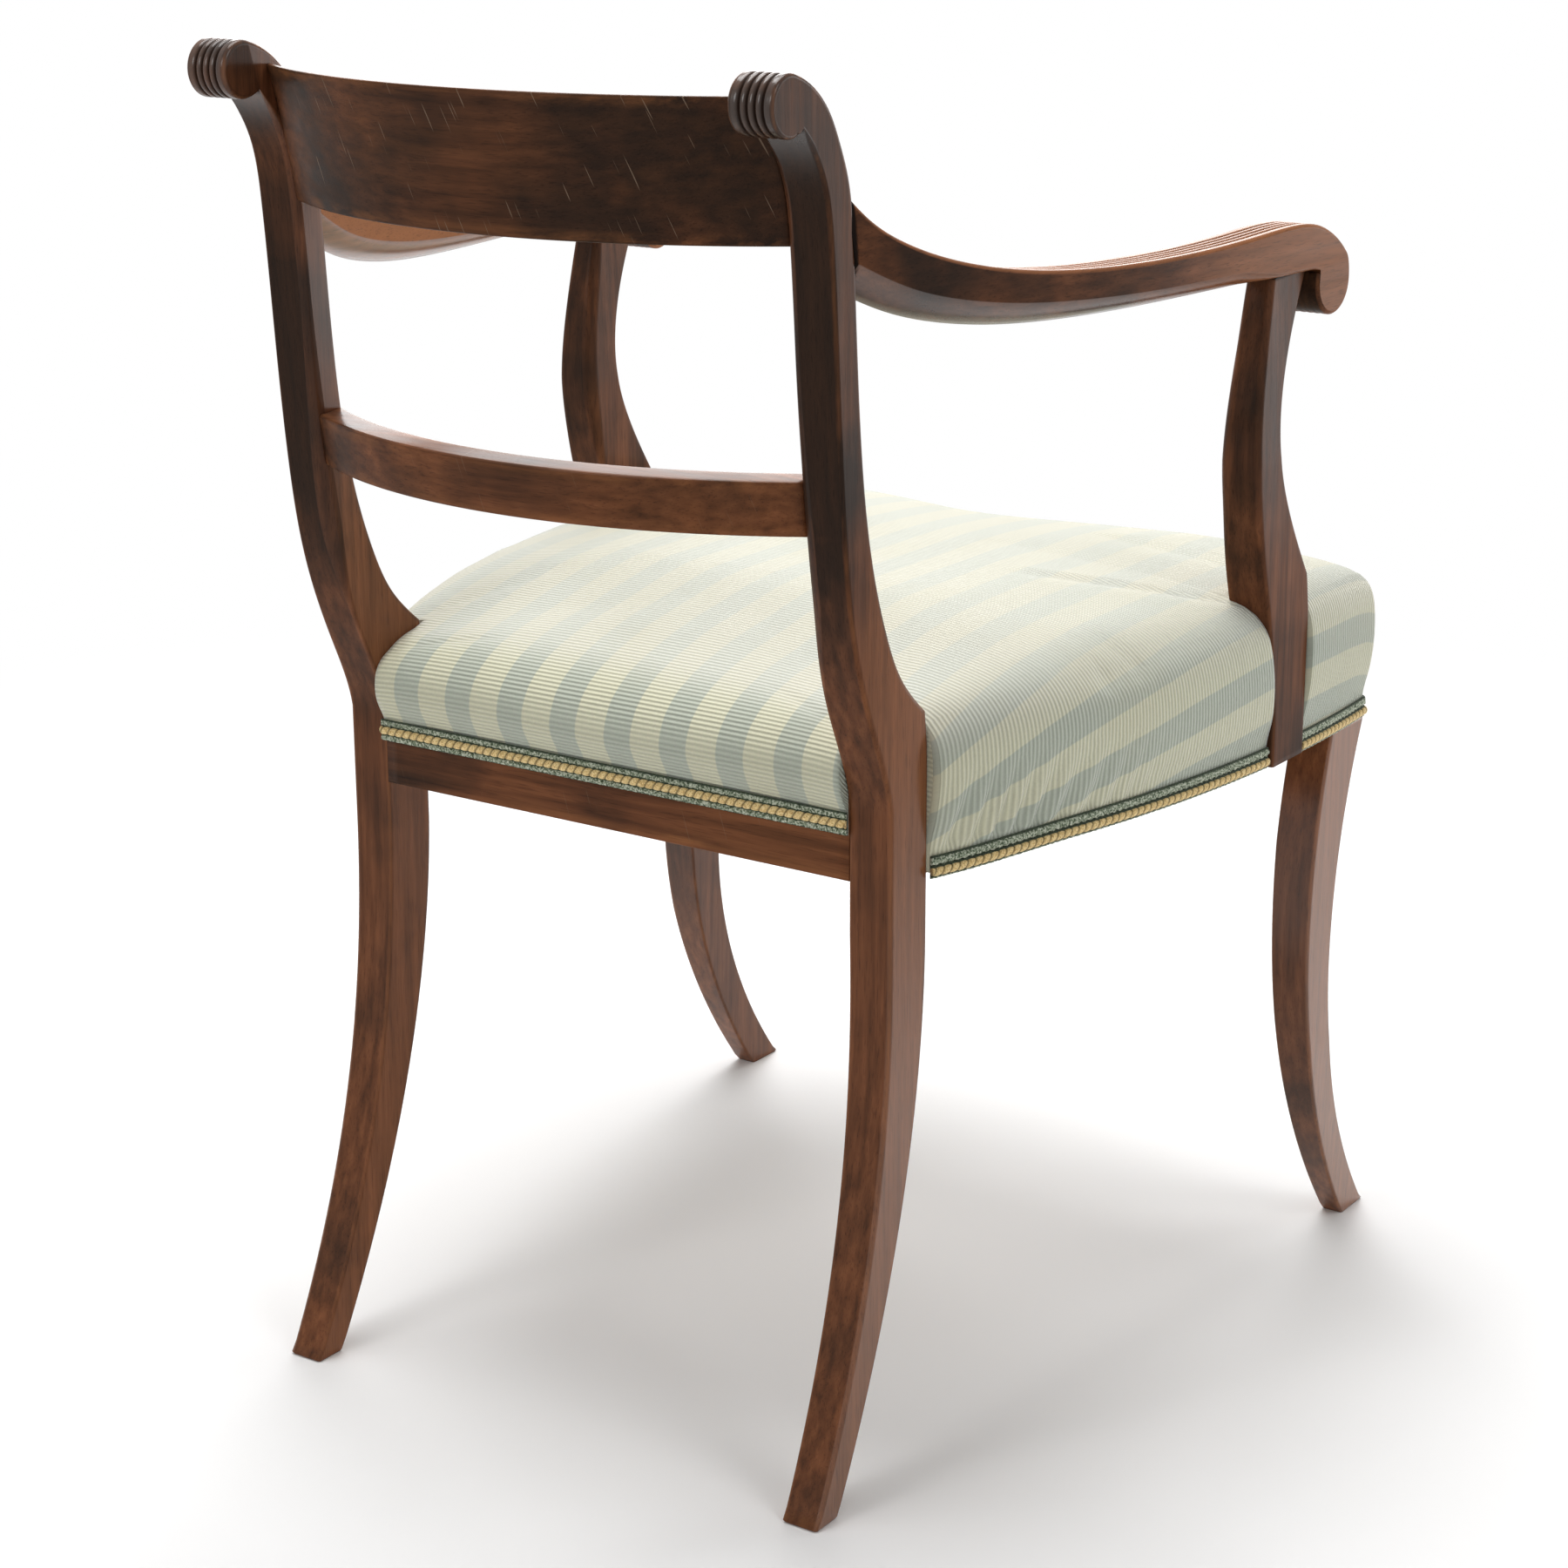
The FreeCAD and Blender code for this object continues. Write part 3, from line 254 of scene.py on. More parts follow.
def mahoganyFinish(name, grainAxis, turn, scratches=0.0):
    # marks on the mesh: wear lightens arrises, partly as painted highlight; dirt blackens grooves; polish is
    # the gloss that is left; the dark mark deepens, partly as painted shade, or under 0 pales as painted
    # light
    m = mahogany
    material, tree = newMaterial(name)
    place = addNode(tree, "TexCoord").outputs["Object"]
    handled, wear, dirt, polish = (addNode(tree, "Attribute", {"attribute_name": key}).outputs["Fac"]
                                   for key in ("handled", "wear", "dirt", "polish"))
    stretch = [1.0, 1.0, 1.0]
    stretch[grainAxis] = m["along"]
    grain = addNode(tree, "Mapping", {"Location": turn, "Scale": stretch}, {"Vector": place})
    streak = addNode(tree, "TexNoise", {"Scale": 1000 / m["streakMm"], "Detail": 3.0, "Distortion": 0.2},
                     {"Vector": grain})
    patch = addNode(tree, "TexNoise", {"Scale": 1000 / m["patchMm"], "Detail": 3.0}, {"Vector": place})
    pore = addNode(tree, "TexNoise", {"Scale": 1000 / m["poreMm"], "Detail": 2.0}, {"Vector": grain})
    chip = addNode(tree, "TexNoise", {"Scale": 1000 / m["chipMm"], "Detail": 6.0, "Roughness": 0.65},
                   {"Vector": grain})
    flat = addNode(tree, "Mapping", {"Scale": (1.0, 0.0, 1.0)}, {"Vector": place})
    slant = addNode(tree, "Mapping", {"vector_type": "TEXTURE", "Rotation": (0.0, m["scratchLean"], 0.0),
                                      "Scale": (1.0, 1.0, m["scratchLong"])}, {"Vector": flat})
    scratch = addNode(tree, "TexNoise", {"Scale": 1000 / m["scratchMm"], "Detail": 0.0}, {"Vector": slant})
    # random patches and the dark mark pick the dark tone: partly darker wood, partly painted shade
    dark = addNode(tree, "Math", {"operation": "ADD"}, {0: patch, 1: handled})
    # under 0 the dark mark mixes in a paler colour: painted light
    paintedLightShare = addNode(tree, "MapRange", {"From Max": -1.0}, {"Value": handled})
    patchShare, poreShare, chipShare, scratchShare = (
        addNode(tree, "MapRange", {"From Min": low, "From Max": high, "To Max": most}, {"Value": source})
        for source, low, high, most in ((dark, *m["darkeningRange"]), (pore, *m["pores"]), (chip, *m["chips"]),
                                        (scratch, *m["scratches"], scratches)))
    # arrises and reed crests take the rubbed colour, partly wear, partly painted highlight
    wornAndHighlight = addNode(tree, "Math", {"operation": "MULTIPLY", "use_clamp": True}, {0: wear, 1: chipShare})
    stops = [(0.25, m["shadow"]), (0.5, m["body"]), (0.78, m["warm"])]
    colour = addNode(tree, "ValToRGB", {"stops": stops}, {"Fac": streak})
    for key, share in (("faded", paintedLightShare), ("patinaAndShade", patchShare), ("grime", poreShare), ("rubbedAndHighlight", wornAndHighlight),
                       ("grime", dirt), ("scratch", scratchShare)):
        colour = addNode(tree, "Mix", {"data_type": "RGBA", 7: hexLinear(m[key])}, {0: share, 6: colour})
    rough = addNode(tree, "MapRange", {"From Min": 0.3, "From Max": 0.7, "To Min": 0.3, "To Max": 0.45},
                    {"Value": chip})
    height = addNode(tree, "Math", {"operation": "SUBTRACT"}, {0: streak, 1: poreShare})
    bump = addNode(tree, "Bump", {"Strength": 0.2, "Distance": 0.0005}, {"Height": height})
    clear = addNode(tree, "Math", {"operation": "SUBTRACT", "use_clamp": True}, {0: polish, 1: dirt})
    shader = addNode(tree, "BsdfPrincipled",
                     {"IOR": 1.5, "Specular IOR Level": 0.03, "Coat IOR": 1.65, "Coat Roughness": 0.2},
                     {"Base Color": colour, "Roughness": rough, "Normal": bump, "Coat Weight": clear})
    addNode(tree, "OutputMaterial", None, {"Surface": shader})
    return material


uprightWood = mahoganyFinish("polished_mahogany_upright_grain", 2, (0.31, 0.12, 0.0))
crestWood = mahoganyFinish("polished_mahogany_crest_grain", 0, (0.0, 0.43, 0.27), 0.4)
crossWood = mahoganyFinish("polished_mahogany_cross_grain", 0, (0.0, 0.43, 0.27), 0.12)
armWood = mahoganyFinish("polished_mahogany_arm_grain", 1, (0.18, 0.0, 0.36))

# Rear legs: sabre foot, upright block, leaning stile and a rolled top with reeds round it
rearLeg = {"inner": 176.5, "outer": 206.0, "footIn": 7.5, "footOut": 3.0, "knee": 345.0, "backY": 212.0,
           "frontY": 173.0, "kickBack": 81.5, "kickFront": 97.2, "lead": 385.0, "blockTop": 425.0,
           "blockFront": ((173, 345), (173, 455), (176, 478)), "rollY": 312.0, "rollZ": 833.0,
           "rollRadius": 17.0, "notch": 225.0, "rollFrom": 110.0, "rollTo": -131.0, "lowArris": 9.0,
           "highArris": 4.5, "arris": 1.8, "crispArris": 2.2, "rollOuter": 1.8, "rollInner": 2.6, "reeds": 5,
           "reedDepth": 1.9, "reedsFrom": (486, 505), "footSoft": 1.6, "backPower": 2.2, "frontPower": 1.9,
           "softened": (485, 560, 800, 820)}
stileBack = [(228, 469.9), (248.5, 525), (261, 596.4), (268, 680), (273.5, 753), (281, 791)]
stileFront = [(176, 478), (201.4, 502.9), (217.2, 532.3), (232.8, 579.2), (241.3, 624.9), (247.4, 688.2),
              (252, 757.1), (257, 790.2), (266, 811.8), (274, 826.1)]


def rollPoint(angle):
    a, r = np.radians(angle), rearLeg["rollRadius"]
    return np.stack([rearLeg["rollY"] + r * np.cos(a), rearLeg["rollZ"] + r * np.sin(a)], -1)


def rearLegLines():
    p = rearLeg
    s, t = np.linspace(0, 1, 40), np.linspace(0, 1, 13)[1:]
    footBack = np.stack([p["backY"] + p["kickBack"] * (1 - s) ** p["backPower"], p["knee"] * s], -1)
    footFront = np.stack([p["frontY"] + p["kickFront"] * (1 - s) ** p["frontPower"], p["knee"] * s], -1)
    blockBack = np.stack([p["backY"] + 0 * t, p["knee"] + (p["blockTop"] - p["knee"]) * t], -1)
    blockFront = np.stack([np.interp(t, (0, 0.8, 1), v) for v in zip(*p["blockFront"])], -1)
    up = [(p["backY"], p["lead"]), (p["backY"], p["blockTop"])]
    back = smoothLine(up + stileBack + [tuple(rollPoint(p["notch"]))])
    upperBack = evenSteps(back[back[:, 1] >= p["blockTop"]], 90)[1:]
    upperFront = evenSteps(intoRoll(stileFront, rollPoint, (p["rollFrom"], 85, 60)), 90)[1:]
    turn = np.linspace(p["rollFrom"], p["rollTo"], 52)[1:]
    rollBack = np.repeat(rollPoint(np.array([p["notch"]])), len(turn), 0)
    return (np.concatenate([footBack, blockBack, upperBack, rollBack]),
            np.concatenate([footFront, blockFront, upperFront, rollPoint(turn)]), len(turn))


def rearLegSpan(y, z):
    low = np.clip(1 - z / rearLeg["knee"], 0, 1)
    return rearLeg["inner"] + rearLeg["footIn"] * low, rearLeg["outer"] + rearLeg["footOut"] * low


legBack, legFront, rollRows = rearLegLines()
row, rollStart = np.arange(len(legBack)), len(legBack) - rollRows
inRoll, rolled = row >= rollStart, easeStep(row, rollStart - 8, rollStart + 4)
z = legBack[:, 1]
rising = hump(z, *rearLeg["softened"])
softRadius = rearLeg["lowArris"] + (rearLeg["highArris"] - rearLeg["lowArris"]) * easeStep(z, 560, 700)
fromNotch = np.linalg.norm(legBack - rollPoint(rearLeg["notch"]), axis=1)
atNotch = notchArris + notchGrowth * fromNotch
softBack = np.minimum(rearLeg["arris"] + (softRadius - rearLeg["arris"]) * rising, atNotch)
crispBack = np.minimum(rearLeg["crispArris"], atNotch)
deep = np.linalg.norm(legFront - legBack, axis=1)  # nothing at the notch, so the roundings narrow with it
outerFront, innerFront = (
    np.minimum(rearLeg["arris"] + (rearLeg[key] - rearLeg["arris"]) * rolled, 0.3 * deep)
    for key in ("rollOuter", "rollInner"))
reedRows = rearLeg["reedDepth"] * np.where(inRoll, 1, easeStep(legFront[:, 1], *rearLeg["reedsFrom"]))
legGrid, legMarks, legSide = carriedSection(legBack, legFront, rearLegSpan,
                                            (softBack, crispBack, outerFront, innerFront),
                                            rearLeg["reeds"], np.minimum(reedRows, 0.25 * deep))
z = np.where(inRoll, rearLeg["rollZ"] + rearLeg["rollRadius"], z)
upper, notched = easeStep(z, 470, 620), np.exp(-(fromNotch / 20) ** 2) * ~inRoll
legMarks["polish"] = bySide(legSide, 0.1 - 0.06 * upper + 0.95 * notched,
                            0.05 + 0.85 * (1 - easeStep(z, 100, 560)), 0.5 + 0.1 * inRoll,
                            0.25 - 0.2 * inRoll)
# the dark mark by face and height on the rear legs: partly darker wood, partly painted shade and light
legMarks["handled"] = bySide(legSide, -0.02 + 0.37 * upper, -0.22 + 0.4 * upper, 0.12 + 0.15 * inRoll,
                             -0.18 + 0.2 * upper + 0.12 * inRoll)
for side, word in bothSides:
    woodPiece("rear_leg_reeded_" + word, legGrid, legMarks, uprightWood, side, "rear_leg_" + word,
              rearLeg["footSoft"])
print("rear legs made:", legGrid.shape)

# Front legs: sabre, tapering to a narrow foot; each edge is a power of the height under its waist, a parabola
# above; the top is cut back under the cover and the braid
frontLeg = {"inner": 243.0, "outer": 273.0, "footIn": 8.5, "footOut": 5.5, "taperIn": 300.0,
            "taperOut": 150.0, "front": -280.0, "back": -231.0, "waistFront": (-244.0, 212.0),
            "waistBack": (-208.0, 235.0),
            "toe": -329.0, "heel": -296.0, "power": 2.05, "railBottom": 378.0, "top": 435.5, "arris": 1.8,
            "dressed": 4.0, "dressedFrom": 381.0, "dressedTo": 385.0, "footSoft": 1.4}


def frontLegEdge(z, waist, foot, top):
    low = waist[0] + (foot - waist[0]) * np.clip(1 - z / waist[1], 0, 1) ** frontLeg["power"]
    high = (top - waist[0]) * np.clip((z - waist[1]) / (frontLeg["railBottom"] - waist[1]), 0, 1) ** 2
    return np.stack([low + high, z], -1)


def frontLegSpan(y, z):
    p = frontLeg
    outer = p["outer"] - p["footOut"] * np.clip(1 - z / p["taperOut"], 0, 1)
    outer = outer - p["dressed"] * easeStep(z, p["dressedFrom"], p["dressedTo"])
    return p["inner"] + p["footIn"] * np.clip(1 - z / p["taperIn"], 0, 1), outer


z = np.linspace(0, frontLeg["top"], 80)
heelLine = frontLegEdge(z, frontLeg["waistBack"], frontLeg["heel"], frontLeg["back"])
toeLine = frontLegEdge(z, frontLeg["waistFront"], frontLeg["toe"], frontLeg["front"])
frontGrid, frontMarks, frontSide = carriedSection(heelLine, toeLine, frontLegSpan, [frontLeg["arris"]] * 4)
frontMarks["polish"] = bySide(frontSide, 0.5, 0.9, 0.5, 0.4)
# front legs: outer faces paler as painted light, the others near plain
frontMarks["handled"] = bySide(frontSide, -0.05, -0.3, 0.0, -0.05)
for side, word in bothSides:
    woodPiece("front_leg_sabre_" + word, frontGrid, frontMarks, uprightWood, side, "front_leg_" + word,
              frontLeg["footSoft"])
print("front legs made:", frontGrid.shape)

# Arms: reeded on top, sweeping down from the stile and out, ending in a roll over the support
arm = {"width": 28.0, "plan": ((206.2, 254.5), (250.0, 80.0), (281.0, -209.5)), "rollY": -187.0,
       "rollZ": 688.0, "rollRadius": 21.5, "rollSwell": 2.5, "rollFrom": 50.0, "rollTo": -199.0,
       "notch": 155.0, "underEnd": 259.0, "topEnd": 257.5, "underRear": 13.8, "underFront": 8.0,
       "underRoll": 1.6, "underLead": ((-139, 698), (-160, 698)), "arris": 2.0, "reeds": 5,
       "reedDepth": 1.3, "blunt": 0.4}
armTop = [(261, 786), (238.8, 765.8), (214, 752), (161.8, 735.6), (80.9, 724.9), (28.7, 723), (-91.6, 726),
          (-136, 728), (-162, 726), (-184, 718.5)]
armUnder = [(261, 734), (216.6, 714), (177.5, 704), (135.7, 698.5), (80.9, 696), (-29.9, 697), (-117, 698)]


def armRollPoint(angle):
    a = np.radians(angle)
    r = arm["rollRadius"] + arm["rollSwell"] * np.exp(-((angle - 45) / 25) ** 2)  # fuller at the top
    return np.stack([arm["rollY"] - r * np.cos(a), arm["rollZ"] + r * np.sin(a)], -1)


def armLines():
    top, under = intoRoll(armTop, armRollPoint, (arm["rollFrom"], 35.0, 20.0)), smoothLine(armUnder)
    notch = armRollPoint(np.array([arm["notch"]]))
    under = np.concatenate([under[under[:, 0] < arm["underEnd"]], arm["underLead"], notch])
    top = top[top[:, 0] < arm["topEnd"]]
    turn = np.linspace(arm["rollFrom"], arm["rollTo"], 56)[1:]
    dense = np.r_[np.linspace(0, 0.1, 50), np.linspace(0.1, 1, 110)[1:]]  # closer rows at the stile
    under, top = (evenSteps(line, 2000)[np.round(dense * 1999).astype(int)] for line in (under, top))
    rollUnder = np.repeat(notch, len(turn), 0)
    return np.concatenate([under, rollUnder]), np.concatenate([top, armRollPoint(turn)])


def armSpan(y, z):  # circle through the three plan points
    (x1, y1), (x2, y2), (x3, y3) = arm["plan"]
    d = 2 * (x1 * (y2 - y3) + x2 * (y3 - y1) + x3 * (y1 - y2))
    s1, s2, s3 = x1 ** 2 + y1 ** 2, x2 ** 2 + y2 ** 2, x3 ** 2 + y3 ** 2
    cx = (s1 * (y2 - y3) + s2 * (y3 - y1) + s3 * (y1 - y2)) / d
    cy = (s1 * (x3 - x2) + s2 * (x1 - x3) + s3 * (x2 - x1)) / d
    outer = cx + np.sqrt((x1 - cx) ** 2 + (y1 - cy) ** 2 - (y - cy) ** 2)
    return outer - arm["width"], outer


under, top = armLines()
fromEnd = np.arange(len(under)) - len(under)
lowArris = arm["underFront"] + (arm["underRear"] - arm["underFront"]) * easeStep(under[:, 0], -60, 200)
lowArris = lowArris + (arm["underRoll"] - lowArris) * easeStep(-under[:, 0], 70, 125)
fromNotch = np.linalg.norm(under - armRollPoint(arm["notch"]), axis=1)
lowArris = np.minimum(lowArris, notchArris + notchGrowth * fromNotch)
reedRows = arm["reedDepth"] * (1 - easeStep(fromEnd, -30, -15))
armGrid, armMarks, armSide = carriedSection(under, top, armSpan,
                                            (lowArris, lowArris, arm["arris"], arm["arris"]),
                                            arm["reeds"], reedRows, arm["blunt"])
rear, hook = easeStep(top[:, 0], -120, 40), easeStep(fromEnd, -30, -14)
armMarks["polish"] = bySide(armSide, 1.0, 0.05, 0.2 * (1 - hook), 0.12)
lowCorners = (armSide == 0) | (armSide == 2)  # these rounded arrises kept their gloss
armMarks["polish"][:, lowCorners] = 0.3 + 0.7 * rear[:, None]
jointLine = smoothLine(stileFront)
jointY = np.interp(armGrid[..., 2], jointLine[:, 1], jointLine[:, 0])
armMarks["dirt"] = np.maximum(armMarks["dirt"], 1 - easeStep(jointY - armGrid[..., 1], 0.1, 1.1))
# each arm's faces are darker or paler on their own, the left inner face far paler: painted light and shade
for side, word, outer, inner in ((1, "left", 0.1, -0.6), (-1, "right", 0.34, 0.1)):
    armMarks["handled"] = bySide(armSide, 0.1 * rear, (outer + 0.13) * rear - 0.28, -0.5 + hook, inner)
    woodPiece("arm_reeded_" + word, armGrid, armMarks, armWood, side, "arm_" + word)
print("arms made:", armGrid.shape)

# Arm supports: waisted posts that lap the side rail; the arris towards the sitter's back is well rounded
support = {"inner": 248.0, "outer": 277.0, "lapX": 260.0, "lapTop": 436.0, "taper": 5.0, "waistZ": 583.0,
           "top": 698.3, "bottom": 378.0, "arris": 1.8, "outerArris": 4.0, "soft": 7.5,
           "headLine": (696.1, 697.5)}
supportBack = [(-134, 408.5), (-120, 486), (-109, 522.7), (-98, 583), (-104, 640.5), (-117, 698.3)]
supportFront = [(-174, 500), (-143, 549), (-130, 583), (-140, 652), (-163, 698.3)]
backLine = np.concatenate([[(-134.0, 370.0)], smoothLine(supportBack)])
frontLine = np.concatenate([[(-178.0, 370.0), (-178.0, 476.0)], smoothLine(supportFront)])


def supportY(line, z):
    return np.interp(z, line[:, 1], line[:, 0])


def supportSpan(y, z):
    drawn = support["taper"] * np.clip((z - support["waistZ"]) / (support["top"] - support["waistZ"]), 0, 1)
    inner = np.where(z < support["lapTop"], support["lapX"], support["inner"])
    return inner + drawn, support["outer"] - drawn


lap = (support["lapTop"] - 0.1, support["lapTop"] + 0.1)  # two close rows make the step over the rail
z = np.unique(np.r_[np.linspace(support["bottom"], support["top"], 90), lap, support["headLine"]])
rounded = easeStep(z, 500, 560)
crisp = support["arris"]
softRows = crisp + (support["soft"] - crisp) * rounded * (1 - 0.5 * easeStep(z, 650, 698))
outerRows = crisp + (support["outerArris"] - crisp) * rounded
lines = (np.stack([supportY(line, z), z], -1) for line in (backLine, frontLine))
supportGrid, supportMarks, supportSide = carriedSection(*lines, supportSpan,
                                                        (softRows, outerRows, crisp, crisp))
supportMarks["dirt"] = np.maximum(supportMarks["dirt"], easeStep(z, *support["headLine"])[:, None])
supportMarks["polish"] = bySide(supportSide, 0.06, 0.06, 0.3, 0.06)
# supports: the back face darkest, partly darker wood, partly painted shade
supportMarks["handled"] = bySide(supportSide, 0.15, 0.06, 0.1, 0.03)
for side, word in bothSides:
    woodPiece("arm_support_waisted_" + word, supportGrid, supportMarks, uprightWood, side,
              "arm_support_" + word)
print("arm supports made:", supportGrid.shape)


def roundedRing(lines, radius, counts):  # closed section from lines that meet; a corner is a quadratic curve
    parts = []
    t = np.array([[0.2], [0.4], [0.6], [0.8]])
    for k, line in enumerate(lines):
        line, after = np.asarray(line, float), np.asarray(lines[(k + 1) % len(lines)], float)
        here = evenSteps(line, counts[k], radius, radius)
        start = evenSteps(after, 2, radius, radius)[0]
        parts += [here, (1 - t) ** 2 * here[-1] + 2 * t * (1 - t) * line[-1] + t * t * start]
    return np.concatenate(parts)


def railPiece(name, grid, material, node, rail, handled):
    # polish is the gloss left on the back and on the top; a chip, if any, lies along the lower back arris
    ring = grid[len(grid) // 2]
    bend = np.roll(ring, 1, 0) + np.roll(ring, -1, 0) - 2 * ring  # large where the section turns a corner
    # arrises take the rubbed colour, partly wear, partly painted highlight
    wear = np.clip(np.linalg.norm(bend, axis=1) / 0.35, 0, 1) * np.ones((len(grid), 1))
    run = (np.roll(ring, -1, 0) - np.roll(ring, 1, 0))[:, 1:]
    top = np.abs(run[:, 0]) / np.linalg.norm(run, axis=1) * (ring[:, 2] > ring[:, 2].mean())  # 0 on the faces
    back, above = rail["polish"]
    gloss = back + (above - back) * easeStep(top, 0.3, 0.9)
    if "chip" in rail:
        low = (ring[:, 2] < ring[:, 2].min() + 3.5) & (ring[:, 1] > ring[:, 1].mean())
        wear = wear + 3 * low * np.exp(-((grid[..., 0] - rail["chip"][0]) / rail["chip"][1]) ** 2)
    # the dark mark along the rail comes from its function of x: partly darker wood, partly painted shade
    marks = {"wear": wear, "dirt": 0 * wear, "polish": gloss + 0 * wear, "handled": handled(grid[..., 0])}
    return settle(putMesh(name, grid, tubeQuads(*grid.shape[:2]), material, marks), "mahogany", node)


def bowedRail(name, ring, rail, material, node, handled):
    # the section, as steps behind the back line and heights, turns about an upright axis:
    # angle = u asin(reach / radius)
    bow = rail["bow"]
    radius = (rearLeg["inner"] ** 2 + bow ** 2) / (2 * bow)
    reach = radius + ring[None, :, 0]
    turn = np.linspace(-1, 1, 91)[:, None] * np.arcsin(rail["reach"] / reach)
    y = rail["backY"] + bow - radius + reach * np.cos(turn)
    grid = np.stack([reach * np.sin(turn), y, ring[None, :, 1] + 0 * turn], -1)
    return railPiece(name, grid, material, node, rail, handled)


# the crest's dark mark: partly darker wood, partly painted shade
def crestDarkeningAndShade(x):  # darkest at the two ends, and over most of the right half
    return 0.19 + 0.12 * easeStep(-x, -70, 90) + 0.1 * easeStep(x, 70, 150)


# the rails darker towards the left end as painted shade, with a slow wave along them
def railDarkeningAndShade(x):
    return -0.05 + 0.05 * np.cos(x / 40) + 0.27 * easeStep(x, 60, 165)


def boxRing(corners, radius):
    return roundedRing([(corners[k], corners[(k + 1) % 4]) for k in range(4)], radius, (6, 4, 6, 4))


# Back rails: the crest thins to its top edge and leans with the stiles, the mid rail is a plain bowed bar
crest = {"backY": 272.0, "bow": 57.0, "reach": 177.4, "arris": 1.6, "polish": (0.03, 0.15)}
crestBack = [(0, 754), (6.5, 789.6), (12.2, 814.8), (17.5, 835)]
crestFront = [(13.5, 835), (4.6, 825.3), (-3.3, 810.7), (-10.5, 789.6), (-16.5, 754)]
crestLines = [smoothLine(crestBack), (crestBack[-1], crestFront[0]), smoothLine(crestFront),
              (crestFront[-1], crestBack[0])]
bowedRail("crest_rail_bowed", roundedRing(crestLines, crest["arris"], (14, 2, 18, 4)), crest, crestWood,
          "crest_rail", crestDarkeningAndShade)
midRail = {"backY": 256.5, "bow": 50.0, "reach": 177.4, "arris": 2.0, "polish": (0.05, 0.22),
           "corners": ((0, 591.5), (4, 623.5), (-13, 625.6), (-17, 593.6))}
bowedRail("mid_rail_bowed", boxRing(midRail["corners"], midRail["arris"]), midRail, crossWood, "mid_rail",
          railDarkeningAndShade)
backRail = {"half": 176.6, "corners": ((212.0, 378.0), (212.0, 435.8), (186.0, 435.8), (186.0, 378.0)),
            "arris": 1.4, "polish": (0.05, 0.3), "chip": (-57.0, 14.0)}
x = np.linspace(-backRail["half"], backRail["half"], 40)[:, None]
y, z = boxRing(backRail["corners"], backRail["arris"]).T[:, None]
railPiece("back_seat_rail_show_wood", np.stack(np.broadcast_arrays(x, y, z), -1), crossWood, "back_seat_rail",
          backRail, railDarkeningAndShade)
print("back rails made")

# Seat: a half outline from the middle of the rear edge, round the stile, along the bowed side, round the arm
# support and the front corner to the middle of the front; rows climb the border, turn over the shoulder and
# close on the crown
sideRail = {"rear": (204.5, 173.0), "front": (271.5, -231.0), "bow": 20.0}
seat = {"stileX": 176.2, "stileY": 172.7, "tuck": 6.0, "supportX": 247.7, "gap": 0.4, "front": -280.0,
        "rear": 212.0, "corner": 3.0, "hem": 2.3, "crown": 503.0, "blend": 1.6,
        "frontEdge": ((0, 120, 270), (-6, -1, 9)), "frontFade": 70.0, "wallRows": 46, "topRows": 34,
        "close": 0.965, "runOut": 12.0, "thick": 1.6, "spine": (95.0, -104.0, -117.5, -181.0, -197.0, -215.0),
        "blunt": 12.0, "pressure": 3.0, "cap": 4.0, "heldRows": 10, "frames": 20, "pucker": 2.6,
        "puckerY": (-60, 130, 158, 171), "puckerZ": (389, 397, 398, 450), "stretch": 0.95, "paintedLightRows": 16}
sideWall = [(2.3, 378.3), (2.4, 394), (5.6, 409.5), (7.6, 422.5), (8.6, 444), (7.8, 458), (4.8, 470.8),
            (-1.7, 480.2)]
rearWall = [(214.3, 407.2), (214.5, 421.5), (217.6, 428), (221, 436), (222, 444), (220.6, 453), (216, 461),
            (207.6, 467.5), (196, 474.5), (181, 479)]
crownSide = [(-8, 460), (1.7, 480.2), (16.7, 488), (51.7, 495.4), (105.7, 500.6), (159.7, 503), (400, 503)]
crownRear = [(0, 466), (31, 479), (62, 487.2), (104, 495), (140, 500.3), (172, 503), (500, 503)]
ringCounts = (44, 8, 8, 84, 8, 10, 8, 26, 10, 60)  # columns on each run of the half outline


def sideX(y, off):  # side rail's bowed line, stepped outwards
    (x0, y0), (x1, y1), bow = sideRail["rear"], sideRail["front"], sideRail["bow"]
    half = math.hypot(x1 - x0, y1 - y0) / 2
    radius = (half ** 2 + bow ** 2) / (2 * bow)
    out = np.array([-(y1 - y0), x1 - x0]) / (2 * half)
    cx, cy = (x0 + x1) / 2 + out[0] * (bow - radius), (y0 + y1) / 2 + out[1] * (bow - radius)
    return cx + np.sqrt((radius + off) ** 2 - (y - cy) ** 2)


